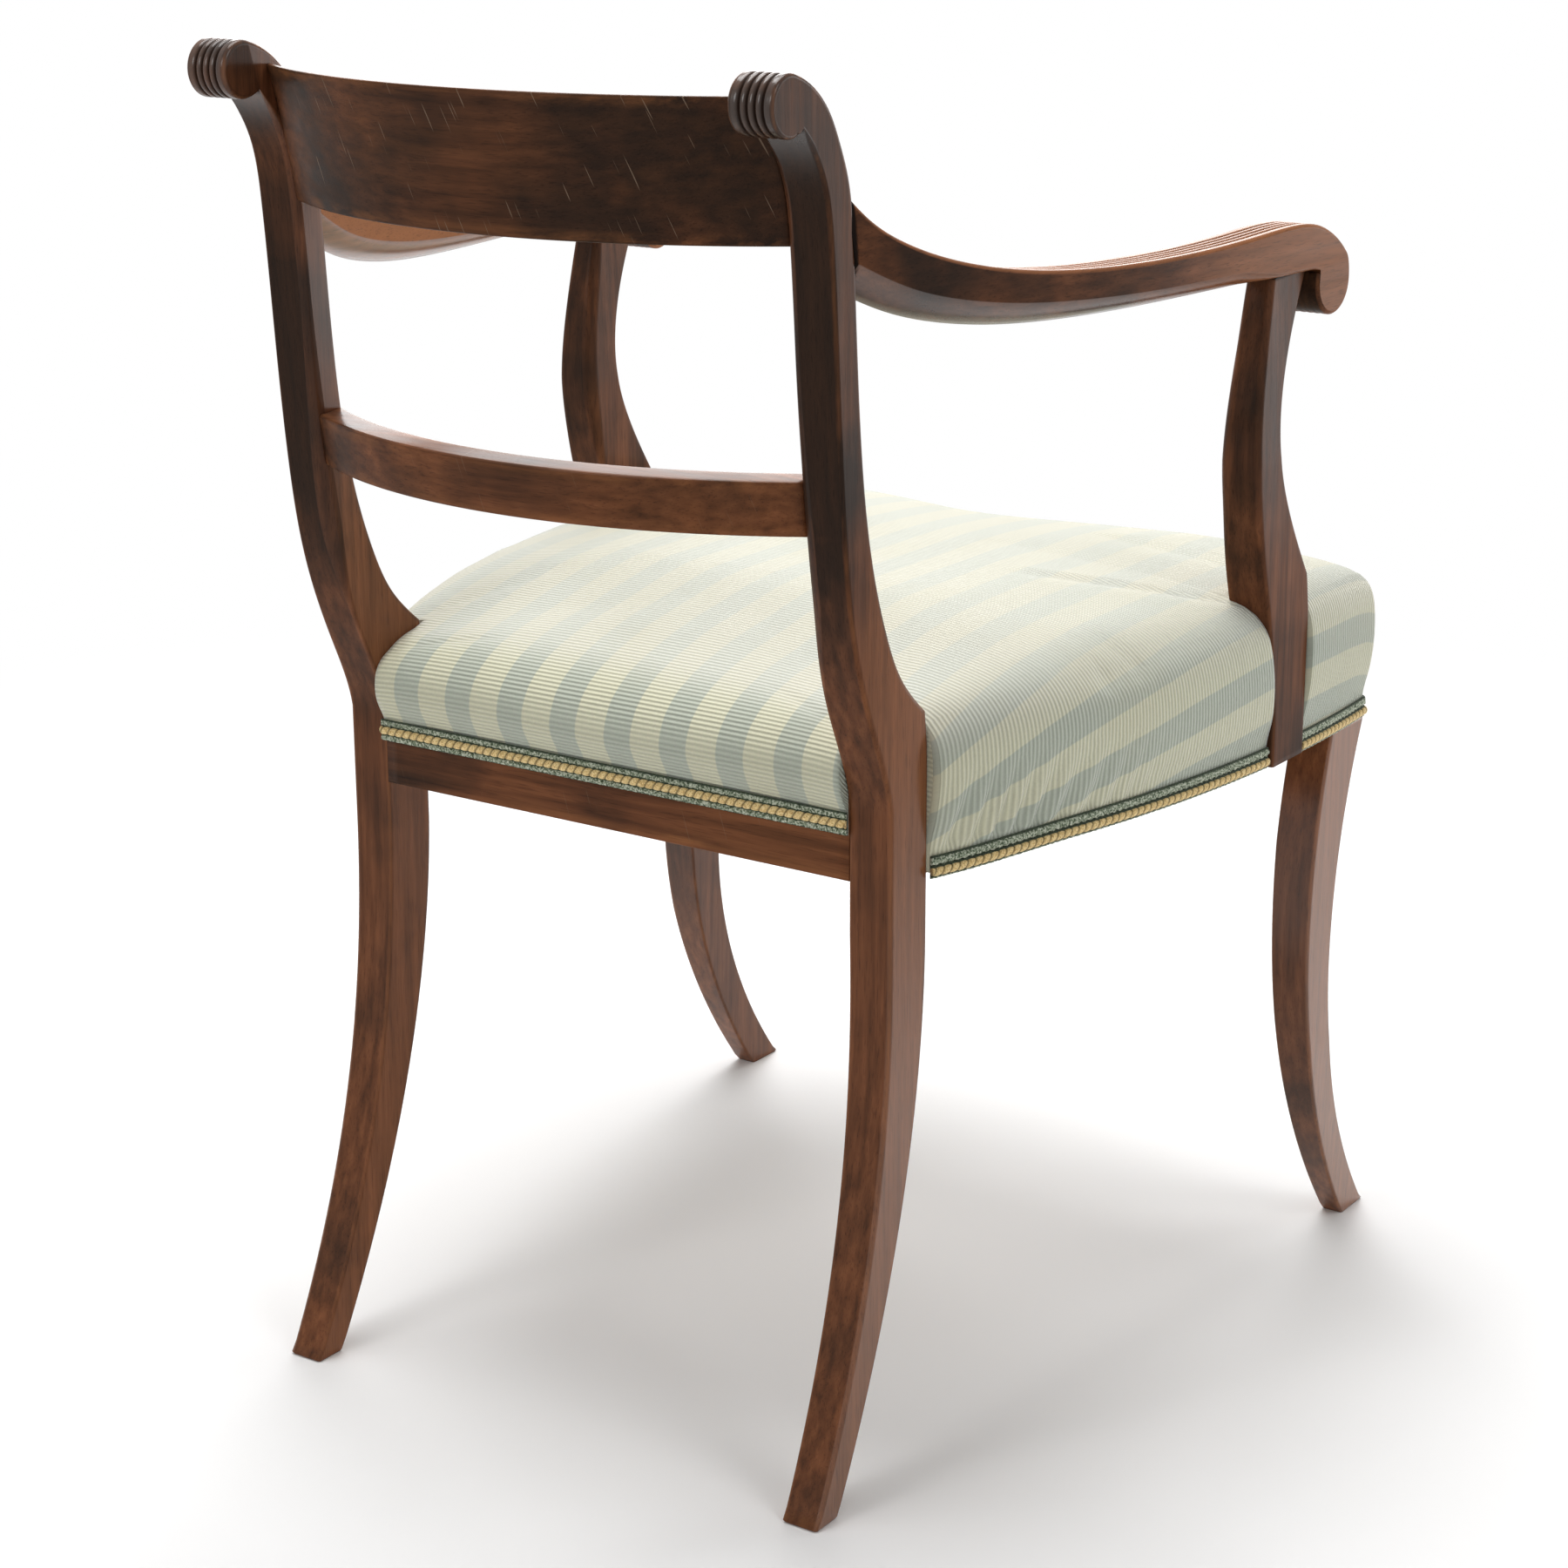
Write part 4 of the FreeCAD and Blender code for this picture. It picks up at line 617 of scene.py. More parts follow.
def halfRing(off, sideZ, rearY, rearZ):
    # x, y and z of the half outline, one row per entry of the four profile arrays
    off, sideZ, rearY, rearZ = (np.asarray(v, float)[:, None] for v in (off, sideZ, rearY, rearZ))
    g = [np.linspace(0, 1, n + 1)[None, :-1] for n in ringCounts]
    g[9] = np.append(g[9], 1)[None]
    stileY = np.minimum(seat["stileY"], rearY)
    stileX = np.minimum(seat["stileX"], sideX(stileY, off) - seat["tuck"])
    backY, frontY = supportY(backLine, sideZ) + seat["gap"], supportY(frontLine, sideZ) - seat["gap"]
    stileEnd, backX, frontX = (sideX(v, off) for v in (stileY, backY, frontY))
    radius = seat["corner"] + np.maximum(off - seat["hem"], 0)
    edgeY = seat["front"] - off
    cornerX = sideX(edgeY + radius, off)
    notch = np.minimum(seat["supportX"], cornerX)
    sideLine = stileY + (backY - stileY) * g[3]
    frontSide = frontY + (edgeY + radius - frontY) * g[7]
    turn = g[8] * np.pi / 2
    x = [stileX * g[0], stileX + 0 * g[1], stileX + (stileEnd - stileX) * g[2], sideX(sideLine, off),
         backX + (notch - backX) * g[4], notch + 0 * g[5], notch + (frontX - notch) * g[6],
         sideX(frontSide, off), cornerX - radius * (1 - np.cos(turn)), (cornerX - radius) * (1 - g[9])]
    y = [rearY + 0 * g[0], rearY + (stileY - rearY) * g[1], stileY + 0 * g[2], sideLine, backY + 0 * g[4],
         backY + (frontY - backY) * g[5], frontY + 0 * g[6], frontSide, edgeY + radius * (1 - np.sin(turn)),
         edgeY + 0 * g[9]]
    z = [rearZ + 0 * g[0], rearZ + (sideZ - rearZ) * 0.5 * g[1], rearZ + (sideZ - rearZ) * (0.5 + 0.5 * g[2])]
    z += [sideZ + 0 * v for v in g[3:]]
    kind = np.repeat(np.arange(10), [v.shape[1] for v in g])
    return np.stack([np.concatenate(p, 1) for p in (x, y, z)], -1), kind


def crownHeight(x, y):
    # drops under the crown from the side, the rear and the front, joined by a power sum so no hip line shows
    fromFront = y - seat["front"]
    fallSide, fallRear = smoothLine(crownSide).T, smoothLine(crownRear).T
    ways = ((sideX(y, 0.0) - np.abs(x), fallSide), (seat["rear"] - y, fallRear), (fromFront, fallSide))
    drops = np.maximum(np.stack([seat["crown"] - np.interp(d, *fall) for d, fall in ways]), 0)
    drop = np.sum(drops ** seat["blend"], 0) ** (1 / seat["blend"])
    fade = np.exp(-np.maximum(fromFront, 0) / seat["frontFade"])
    return seat["crown"] - drop + np.interp(np.abs(x), *seat["frontEdge"]) * fade


def fullRing(half):  # the other half mirrored, in order round the outline
    other = half[:, -2:0:-1] * (-1, 1, 1)
    return np.concatenate([half, other], 1)


def spineLine(kind):
    # y on the middle line that each column runs to: straight in beside the arm support, so that no column
    # crosses another, and blunt at the two ends
    ends = [np.sum(kind < k) for k in range(3, 9)]
    line = np.interp(np.arange(len(kind)), ends, seat["spine"])
    atRear, atFront = kind <= 2, kind >= 8
    rear, front = np.cumsum(atRear) / np.sum(atRear), np.cumsum(atFront[::-1])[::-1] / np.sum(atFront)
    return line + seat["blunt"] * ((1 - rear ** 2) * atRear - (1 - front ** 2) * atFront)


def seatGrid():
    k = seat["wallRows"]
    side, rear = smoothLine(sideWall, k), smoothLine(rearWall, k)
    wall, kind = halfRing(*side.T, *rear.T)
    edgeX, edgeY, edgeZ = wall[-1].T.copy()
    shoulder = crownHeight(edgeX, edgeY)
    wall[..., 2] += (shoulder - edgeZ) * easeStep(np.arange(k)[:, None] / (k - 1), 0.35, 1.0)
    t = np.linspace(0, 1, seat["topRows"] + 1)[1:, None]
    inward = seat["close"] * t
    x, y = edgeX * (1 - inward), edgeY * (1 - inward) + spineLine(kind) * inward
    left = (wall[-1, :, 2] - shoulder) * np.exp(-seat["runOut"] * t)  # the shoulder's own height runs out
    return np.concatenate([wall, np.stack([x, y, crownHeight(x, y) + left], -1)]), kind


def puckered(grid, kind):
    # folds low on the sides next to the rear leg: x moves out by a sine of y, strongest above the hem and
    # gone at mid height
    x, y, z = np.moveaxis(grid, -1, 0)
    held = (kind == 3) * (np.arange(len(grid))[:, None] < seat["wallRows"])
    held = held * hump(y, *seat["puckerY"]) * hump(z, *seat["puckerZ"])
    fold = seat["pucker"] * held * np.sin(y / 2.9 + 1.6 * np.sin(y / 19) + z / 16)
    return np.stack([x + fold, y, z], -1)


def clothMap(grid, kind):
    # metres of cloth: u across the stripes and v along them. On the crown u = x and v = y; on the sides u
    # goes on down the border from the shoulder, on the rear and front v does
    k = seat["wallRows"]
    down = np.linalg.norm(np.diff(grid[:k], axis=0), axis=-1)
    fall = np.concatenate([np.cumsum(down[::-1], 0)[::-1], np.zeros((1 + len(grid) - k, grid.shape[1]))])
    border = np.arange(len(grid))[:, None] < k
    baseX, baseY = (np.where(border, grid[k - 1, :, i], grid[..., i]) for i in (0, 1))
    sideMap = np.stack([baseX + seat["stretch"] * fall, baseY], -1)
    endMap = np.stack([baseX, baseY + fall * np.where(kind <= 2, 1, -1)], -1)
    return sideMap / 1000, endMap / 1000


half, kind = seatGrid()
ring = fullRing(puckered(half, kind))
rows, columns = ring.shape[:2]
quads = tubeQuads(rows, columns, firstOpen=True)
mirror = np.concatenate([np.arange(len(kind)), np.arange(len(kind))[-2:0:-1]])
columnKind = kind[mirror]
flip = np.where(np.arange(columns) < len(kind), 1.0, -1.0)[:, None] * (1.0, 0.0) + (0.0, 1.0)
sideUv, endUv = ((m[:, mirror] * flip).reshape(-1, 2) for m in clothMap(half, kind))
# a face on the sides follows the side map, one on the rear or front border the other; they agree on the crown
faceColumn = quads[:, 0] % columns
faceKind = columnKind[faceColumn]
cornerMid = np.sum(kind < 8) + ringCounts[8] // 2
onSide = (faceKind >= 3) & (faceKind <= 7) | (faceKind == 8) & (mirror[faceColumn] < cornerMid)
uv = np.where(onSide[:, None, None], sideUv[quads], endUv[quads])

# Striped silk repp, woven: cream ground with grey blue stripes, paler on top as painted light, fine ribs
# across, dull sheen; the ribs are really 2 mm, too fine for a picture
repp = {"cream": "#CCCBB1", "blue": "#AFB5A6", "creamPale": "#CECCBA", "bluePale": "#C5C7BA",
        "soil": "#BFB58F", "stripeMm": 41.5, "ribMm": 3.0, "sheen": 0.5, "start": 15.2, "wander": 0.0012}


def reppCloth():
    material, tree = newMaterial("striped_repp_woven")
    coord = addNode(tree, "UVMap", {"uv_map": "cloth"})
    part = addNode(tree, "SeparateXYZ", None, {"Vector": coord})
    drift, thread, soilNoise = (
        addNode(tree, "TexNoise", {"Scale": scale, "Detail": detail}, {"Vector": coord})
        for scale, detail in ((45.0, 2.0), (700.0, 3.0), (9.0, 4.0)))
    wander = addNode(tree, "Math", {"operation": "MULTIPLY_ADD", 1: repp["wander"]},
                     {0: drift, 2: part.outputs["X"]})
    turn = addNode(tree, "Math", {"operation": "MULTIPLY_ADD", 1: 1000 / repp["stripeMm"],
                                  2: repp["start"] / repp["stripeMm"]}, {0: wander})
    wave = addNode(tree, "Math", {"operation": "PINGPONG", 1: 0.5}, {0: turn})
    # on the crown the stripes move to paler colours: painted light
    onTop = addNode(tree, "Attribute", {"attribute_name": "faded"}).outputs["Fac"]
    cream, blue = (addNode(tree, "Mix", {"data_type": "RGBA", 6: hexLinear(repp[key]),
                                         7: hexLinear(repp[key + "Pale"])}, {0: onTop})
                   for key in ("cream", "blue"))
    edge = addNode(tree, "MapRange", {"From Min": 0.225, "From Max": 0.25}, {"Value": wave})
    stripe = addNode(tree, "Mix", {"data_type": "RGBA"}, {0: edge, 6: blue, 7: cream})
    ribTurn = addNode(tree, "Math", {"operation": "MULTIPLY", 1: 2000 * math.pi / repp["ribMm"]},
                      {0: part.outputs["Y"]})
    rib = addNode(tree, "Math", {"operation": "SINE"}, {0: ribTurn})
    shade = addNode(tree, "Math", {"operation": "MULTIPLY_ADD", 1: 0.14, 2: 0.9}, {0: rib})
    uneven = addNode(tree, "Math", {"operation": "MULTIPLY_ADD", 1: 0.2}, {0: thread, 2: shade})
    cloth = addNode(tree, "Mix", {"data_type": "RGBA", "blend_type": "MULTIPLY", 0: 1.0},
                    {6: stripe, 7: uneven})
    soil = addNode(tree, "MapRange", {"From Min": 0.5, "From Max": 0.8, "To Max": 0.22}, {"Value": soilNoise})
    soiled = addNode(tree, "Mix", {"data_type": "RGBA", 7: hexLinear(repp["soil"])}, {0: soil, 6: cloth})
    height = addNode(tree, "Math", {"operation": "MULTIPLY_ADD", 1: 0.6}, {0: thread, 2: rib})
    bump = addNode(tree, "Bump", {"Strength": 0.8, "Distance": 0.0004}, {"Height": height})
    shader = addNode(tree, "BsdfPrincipled", {"Roughness": 0.72, "Sheen Weight": repp["sheen"],
                                              "Sheen Roughness": 0.4, "IOR": 1.45},
                     {"Base Color": soiled, "Normal": bump})
    addNode(tree, "OutputMaterial", None, {"Surface": shader})
    return material


wallRows = seat["wallRows"]
# the mark of the crown's paler painted light, eased in over the top rows of the border
faded = easeStep(np.arange(rows)[:, None] + 0 * ring[..., 0], wallRows - seat["paintedLightRows"], wallRows + 1)
cover = putMesh("seat_cover_striped", ring, quads, reppCloth(), {"faded": faded}, uv)


def swellCloth(piece, pinned):
    # a short cloth run under light pressure, held at the hem and the cut-outs; no point moves past the cap
    trial = piece.copy()
    trial.data = piece.data.copy()
    scene.collection.objects.link(trial)
    trial.vertex_groups.new(name="held").add([int(i) for i in pinned], 1.0, "REPLACE")
    cloth = trial.modifiers.new("cloth", "CLOTH")
    cloth.settings.vertex_group_mass = "held"
    cloth.settings.use_pressure = True
    cloth.settings.uniform_pressure_force = seat["pressure"]
    cloth.settings.effector_weights.gravity = 0
    cloth.settings.quality = 3
    cloth.collision_settings.use_collision = False
    for f in range(1, seat["frames"] + 1):
        scene.frame_set(f)
    rest, moved = np.empty(len(trial.data.vertices) * 3), np.empty(len(trial.data.vertices) * 3)
    piece.data.vertices.foreach_get("co", rest)
    trial.evaluated_get(bpy.context.evaluated_depsgraph_get()).data.vertices.foreach_get("co", moved)
    scene.frame_set(1)
    bpy.data.objects.remove(trial)
    move = (moved - rest).reshape(-1, 3)
    size = np.linalg.norm(move, axis=1, keepdims=True)
    move *= np.minimum(1, seat["cap"] / 1000 / np.maximum(size, 1e-9))
    print("cloth moved up to %.1f mm" % (1000 * size.max()))
    return rest.reshape(-1, 3) + move


heldGrid = np.zeros((rows, columns), bool)
heldGrid[:seat["heldRows"]] = True
heldGrid[:wallRows + 1, np.isin(columnKind, (1, 2, 4, 5, 6))] = True  # the runs round stile and support
swollen = swellCloth(cover, np.flatnonzero(heldGrid))
cover.data.vertices.foreach_set("co", swollen.astype(np.float32).ravel())
cover.data.update()

shell = cover.modifiers.new("cloth_thickness", "SOLIDIFY")
shell.thickness, shell.offset = seat["thick"] / 1000, -1
settle(cover, "striped_cloth", "seat_cover", "seat_stuffing")
print("seat cover made:", ring.shape)

# Gimp: a thin woven ground, a looped braid along each edge, dark threads and a whipped cream cord between; at
# the sides the lower braid is turned under
# the cord's creases between beads are painted darker: painted shade
# the two dark threads beside the cord stand partly for thread, partly for painted shade in the gaps
gimp = {"height": 14.2, "thick": 0.9, "cordRadius": 2.6, "bead": 6.0, "lean": 0.22, "braidRadius": 1.9,
        "braidPitch": 5.4, "threadRadius": 0.6, "threadGap": 0.2, "crease": "#5E4A22", "off": 2.4,
        "level": 384.6, "sideY": (172.2, -133.2), "sideDrop": 3.0, "dropOver": (60.0, 172.0),
        "backHalf": 177.3, "backY": 214.5, "backZ": 414.2,
        "back": {"cord": 0.0, "high": 4.75, "highSize": 1.0, "low": -4.75, "lowSize": 1.0},
        "side": {"cord": -2.7, "high": 3.8, "highSize": 1.4, "low": -5.9, "lowSize": 0.55}}


def gimpPaths():  # the middle line of each length along the hem
    y, x = np.linspace(*gimp["sideY"], 800), np.linspace(-gimp["backHalf"], gimp["backHalf"], 900)
    drop = gimp["sideDrop"] * easeStep(y, *gimp["dropOver"])
    side = np.stack([sideX(y, gimp["off"]), y, gimp["level"] - drop], -1)
    ringFront, ringKind = halfRing([gimp["off"]], [gimp["level"]], [gimp["backY"]], [gimp["backZ"]])
    frontHalf = ringFront[0][ringKind >= 7]
    front = np.concatenate([frontHalf, frontHalf[-2::-1] * (-1, 1, 1)])
    back = np.stack([x, gimp["backY"] + 0 * x, gimp["backZ"] + 0 * x], -1)
    return {"gimp_back": back, "gimp_left": side, "gimp_right": side[::-1] * (-1, 1, 1), "gimp_front": front}


def alongPath(path, ring, step):
    # section points (out, up) carried on a level path: place + normal * out + up; ring may vary with length s
    line = evenSteps(path, int(np.sum(np.linalg.norm(np.diff(path, axis=0), axis=1)) / step) + 2)
    t = np.gradient(line, axis=0)
    n = np.stack([t[:, 1], -t[:, 0], 0 * t[:, 0]], -1)
    n /= np.linalg.norm(n, axis=1, keepdims=True)
    middle = np.array([0.0, -30.0, 0.0])  # a point inside the seat, which the normals turn away from
    n *= np.sign(np.sum(n * (line - middle) * (1, 1, 0), 1).mean())
    out, up, crease = ring(np.arange(len(line))[:, None] * step)
    grid = line[:, None] + n[:, None] * out[..., None]
    grid[..., 2] += up
    return grid, crease


def roundTurn(count):  # angles once round a section
    return np.linspace(0, 2 * np.pi, count, endpoint=False)[None]


def squared(v, power):  # a sine or cosine drawn towards ±1, which squares a round section
    return np.sign(v) * np.abs(v) ** power


def bandRing(s):
    a, wide = roundTurn(16), gimp["thick"] / 2
    out = wide + wide * squared(np.cos(a), 0.5) + 0 * s
    return out, gimp["height"] / 2 * squared(np.sin(a), 0.35) + 0 * s, 0 * out


def cordRing(place):
    # a whipped cord: the radius follows the root of |sin| along the length, so beads meet in leaning creases
    def ring(s):
        a = roundTurn(16)
        swell = np.abs(np.sin(np.pi * (s / gimp["bead"] + gimp["lean"] * np.sin(a))))
        r = gimp["cordRadius"] * (0.74 + 0.26 * np.sqrt(swell))
        out = gimp["thick"] + 0.9 + 0.75 * r * np.cos(a)
        # the third value darkens the creases between beads: painted shade
        return out, place + r * np.sin(a), 1 - easeStep(swell, 0.05, 0.5)
    return ring


def braidRing(place, size):  # a flat tube whose edge swells in turn to both sides, like chained loops
    def ring(s):
        a = roundTurn(14)
        r = gimp["braidRadius"] * size * (0.88 + 0.16 * np.cos(3 * a - 2 * np.pi * s / gimp["braidPitch"]))
        r = r * (1 + 0.1 * np.sin(2 * np.pi * s / 2.1 + 2 * a))
        return gimp["thick"] + 0.2 + 0.55 * r * np.cos(a), place + r * np.sin(a), 0 * r
    return ring


def threadRing(place):
    def ring(s):
        a = roundTurn(8)
        r = gimp["threadRadius"] * (1 + 0.2 * np.sin(2 * np.pi * s / 3.3)) + 0 * a
        return gimp["thick"] + 0.3 + r * np.cos(a), place + r * np.sin(a), 0 * r
    return ring


# Cotton gimp, braided: grey green filling, dark green edges, cream yellow cord, all matt with visible threads
def braidThread(name, light, middle, dark, threadMm):
    material, tree = newMaterial(name)
    place = addNode(tree, "TexCoord").outputs["Object"]
    fibre = addNode(tree, "TexNoise", {"Scale": 1000 / threadMm, "Detail": 3.0}, {"Vector": place})
    mix = addNode(tree, "ValToRGB", {"stops": [(0.36, dark), (0.48, middle), (0.62, light)]}, {"Fac": fibre})
    # the cord's bead creases are mixed to a dark colour: painted shade
    crease = addNode(tree, "Attribute", {"attribute_name": "crease"}).outputs["Fac"]
    creaseShaded = addNode(tree, "Mix", {"data_type": "RGBA", 7: hexLinear(gimp["crease"])}, {0: crease, 6: mix})
    bump = addNode(tree, "Bump", {"Strength": 0.5, "Distance": 0.0004}, {"Height": fibre})
    shader = addNode(tree, "BsdfPrincipled",
                     {"Roughness": 0.85, "Sheen Weight": 0.15, "Specular IOR Level": 0.3},
                     {"Base Color": creaseShaded, "Normal": bump})
    addNode(tree, "OutputMaterial", None, {"Surface": shader})
    return material


gimpGround = braidThread("cotton_gimp_ground", "#4A553C", "#36402C", "#20281B", 1.0)
gimpBraid = braidThread("cotton_gimp_looped_braid", "#C6CAB8", "#7F8B73", "#3A4632", 1.3)
# dark threads, those beside the cord partly painted shade in the gaps
gimpThread = braidThread("cotton_gimp_dark_thread_and_gap_shade", "#3F4C37", "#2E3A29", "#1D271B", 1.0)
gimpCord = braidThread("cotton_gimp_whipped_cord", "#F0D9A2", "#E2C486", "#BE9C62", 0.9)


def closedTube(name, grid, crease, material):
    return putMesh(name, grid, tubeQuads(*grid.shape[:2]), material, {"crease": crease})


for node, path in gimpPaths().items():
    settle(closedTube(node + "_ground", *alongPath(path, bandRing, 2.0), gimpGround), "gimp", node)
    lay = gimp["back" if node == "gimp_back" else "side"]
    topThread = lay["high"] + gimp["braidRadius"] * lay["highSize"]
    beside = gimp["cordRadius"] + gimp["threadGap"]
    for word, ringMaker, material, step in (
            ("cord", cordRing(lay["cord"]), gimpCord, 0.5),
            ("braid_high", braidRing(lay["high"], lay["highSize"]), gimpBraid, 0.7),
            ("braid_low", braidRing(lay["low"], lay["lowSize"]), gimpBraid, 0.7),
            ("thread_top", threadRing(topThread), gimpThread, 1.1),
            # these two dark threads beside the cord are partly painted shade in the gaps there
            ("shade_thread_high", threadRing(lay["cord"] + beside), gimpThread, 1.1),
            ("shade_thread_low", threadRing(lay["cord"] - beside), gimpThread, 1.1)):
        piece = closedTube(node + "_" + word, *alongPath(path, ringMaker, step), material)
        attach(piece, "root")
print("gimp made")

# Underside: interlaced jute webbing and the hessian over it
webbing = {"width": 48.0, "thick": 1.8, "pitch": 66.0, "longY": (-276.0, 206.0), "mid": 438.0, "weave": 1.05,
           "crossY": (-215.0, -60.0, 30.0, 110.0), "railInset": -26.0, "lapOver": 15.0, "level": (30.0, 6.0)}


def juteWeave(name, light, dark, threadMm):  # jute, plain woven: tan threads over and under, hairy and matt
    material, tree = newMaterial(name)
    place = addNode(tree, "TexCoord").outputs["Object"]
    part = addNode(tree, "SeparateXYZ", None, {"Vector": place})
    pace = {"operation": "MULTIPLY", 1: 1000 * math.pi / threadMm}
    turns = (addNode(tree, "Math", pace, {0: part.outputs[axis]}) for axis in ("X", "Y"))
    warp, weft = (addNode(tree, "Math", {"operation": "SINE"}, {0: turn}) for turn in turns)
    weave = addNode(tree, "Math", {"operation": "MULTIPLY"}, {0: warp, 1: weft})
    fuzz = addNode(tree, "TexNoise", {"Scale": 900.0, "Detail": 3.0}, {"Vector": place})
    total = addNode(tree, "Math", {"operation": "MULTIPLY_ADD", 1: 0.3}, {0: weave, 2: fuzz})
    mix = addNode(tree, "ValToRGB", {"stops": [(0.25, dark), (0.7, light)]}, {"Fac": total})
    bump = addNode(tree, "Bump", {"Strength": 0.6, "Distance": 0.0008}, {"Height": total})
    shader = addNode(tree, "BsdfPrincipled", {"Roughness": 0.9}, {"Base Color": mix, "Normal": bump})
    addNode(tree, "OutputMaterial", None, {"Surface": shader})
    return material


webMaterial = juteWeave("jute_webbing_woven", "#B39A6C", "#6F5934", 2.2)
hessianMaterial = juteWeave("hessian_plain_woven", "#B79B6B", "#7A6138", 1.6)


def strip(along, first, last, place, crossed, sign):
    # ribbon that goes over and under in turn where it crosses the others, flat between and level at its ends
    s, a = np.linspace(first, last, 140)[:, None], roundTurn(12)
    levels = sign * (1 - 2 * (np.arange(len(crossed)) % 2)) * webbing["weave"]
    near, far = ((last - first) / 2 - v for v in webbing["level"])
    lift = np.interp(s, crossed, levels) * (1 - easeStep(np.abs(s - (first + last) / 2), near, far))
    across = webbing["width"] / 2 * squared(np.cos(a), 0.3)
    up = webbing["thick"] / 2 * squared(np.sin(a), 0.5)
    u, v, w = s + 0 * a, place + across + 0 * s, webbing["mid"] + up + lift
    return np.stack([v, u, w] if along == 1 else [u, v, w], -1)


def mergedStrips(name, grids, node):
    rows, columns = grids[0].shape[:2]
    quads = np.concatenate([tubeQuads(rows, columns) + k * rows * columns for k in range(len(grids))])
    points = np.concatenate([g.reshape(-1, 3) for g in grids])
    return settle(putMesh(name, points, quads, webMaterial), "webbing", node)


longs, crossings = (np.arange(5) - 2) * webbing["pitch"], np.array(webbing["crossY"])
halves = sideX(crossings, webbing["railInset"]) + webbing["lapOver"]
longStrips = [strip(1, *webbing["longY"], x, crossings, 1 - 2 * (k % 2)) for k, x in enumerate(longs)]
crossStrips = [strip(0, -halves[k], halves[k], y, longs, 2 * (k % 2) - 1) for k, y in enumerate(crossings)]
mergedStrips("webbing_long_strips", longStrips, "webbing_front_to_back")
mergedStrips("webbing_cross_strips", crossStrips, "webbing_side_to_side")
hessian = {"low": 441.1, "thick": 1.0, "inset": -8.0, "level": 436.0, "rear": 204.0, "close": 0.96}
edge, hessianKind = halfRing([hessian["inset"]], [hessian["level"]], [hessian["rear"]], [hessian["level"]])
t = np.linspace(0, hessian["close"], 24)[:, None]
x, y = edge[0, :, 0] * (1 - t), edge[0, :, 1] * (1 - t) + spineLine(hessianKind) * t
flat = fullRing(np.stack([x, y, hessian["low"] + hessian["thick"] + 0 * x], -1))
hessianSheet = putMesh("hessian_sheet", flat, tubeQuads(*flat.shape[:2], firstOpen=True), hessianMaterial)
sheetShell = hessianSheet.modifiers.new("cloth_thickness", "SOLIDIFY")
sheetShell.thickness, sheetShell.offset = hessian["thick"] / 1000, -1
settle(hessianSheet, "hessian", "hessian")
outline = flat[0, :, :2] / 1000
x, y = outline.T
print("underside made")


def hiddenFinish(name, stops, noise, settings, stretch=(1.0, 1.0, 1.0), bump=None):
    # noise along the stretched object axes picks the colour and, where a bump is given, the relief
    material, tree = newMaterial(name)
    place = addNode(tree, "TexCoord").outputs["Object"]
    grain = addNode(tree, "Mapping", {"Scale": stretch}, {"Vector": place})
    fleck = addNode(tree, "TexNoise", noise, {"Vector": grain})
    links = {"Base Color": addNode(tree, "ValToRGB", {"stops": stops}, {"Fac": fleck})}
    if bump:
        links["Normal"] = addNode(tree, "Bump", bump, {"Height": fleck})
    shader = addNode(tree, "BsdfPrincipled", settings, links)
    addNode(tree, "OutputMaterial", None, {"Surface": shader})
    return material


# Beech, sawn: pale pinkish tan with short darker flecks, dry surface
sideTimber, crossTimber = (
    hiddenFinish(name, [(0.35, "#8A6542"), (0.62, "#B58F66")], {"Scale": 450.0, "Detail": 4.0},
                 {"Roughness": 0.75}, stretch, {"Strength": 0.3, "Distance": 0.0005})
    for name, stretch in (("beech_sawn_side", (1.0, 0.08, 1.0)), ("beech_sawn_cross", (0.08, 1.0, 1.0))))
# Steel and iron, wire drawn: dull grey going brown, rough
steel, iron = (
    hiddenFinish(name, [(0.4, light), (0.62, dark)], {"Scale": 420.0, "Detail": 5.0},
                 {"Metallic": 1.0, "Roughness": 0.5})
    for name, light, dark in (("screw_steel_dull", "#8E8A84", "#5A4636"),
                              ("tack_iron_blued", "#3E3D40", "#4C362A")))
finishes = {"side_seat_rail": sideTimber, "front_seat_rail": crossTimber, "corner_block_screws": steel,
            "arm_support_screws": steel, "corner_block": crossTimber, "webbing_tacks": iron,
            "cover_tacks": iron}
for nodeName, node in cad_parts.items():
    found = [m for start, m in finishes.items() if nodeName.startswith(start)]
    if found:
        node.data.materials.clear()
        node.data.materials.append(found[0])
print("frame finishes set")

# Studio: pale floor that keeps the shadow and fades to white, a white world, five soft discs of light
studio = {"floor": 9.0, "paper": "#F2F2F2", "fadeFrom": 0.8, "fadeTo": 1.9, "world": 0.26}


def seenShare(tree):  # 1 where the backdrop itself is seen, 0 for the light that it gives
    path = addNode(tree, "LightPath")
    seen = path.outputs["Is Camera Ray"]
    for ray in ("Is Glossy Ray", "Is Transmission Ray"):
        seen = addNode(tree, "Math", {"operation": "MAXIMUM"}, {0: seen, 1: path.outputs[ray]})
    return seen


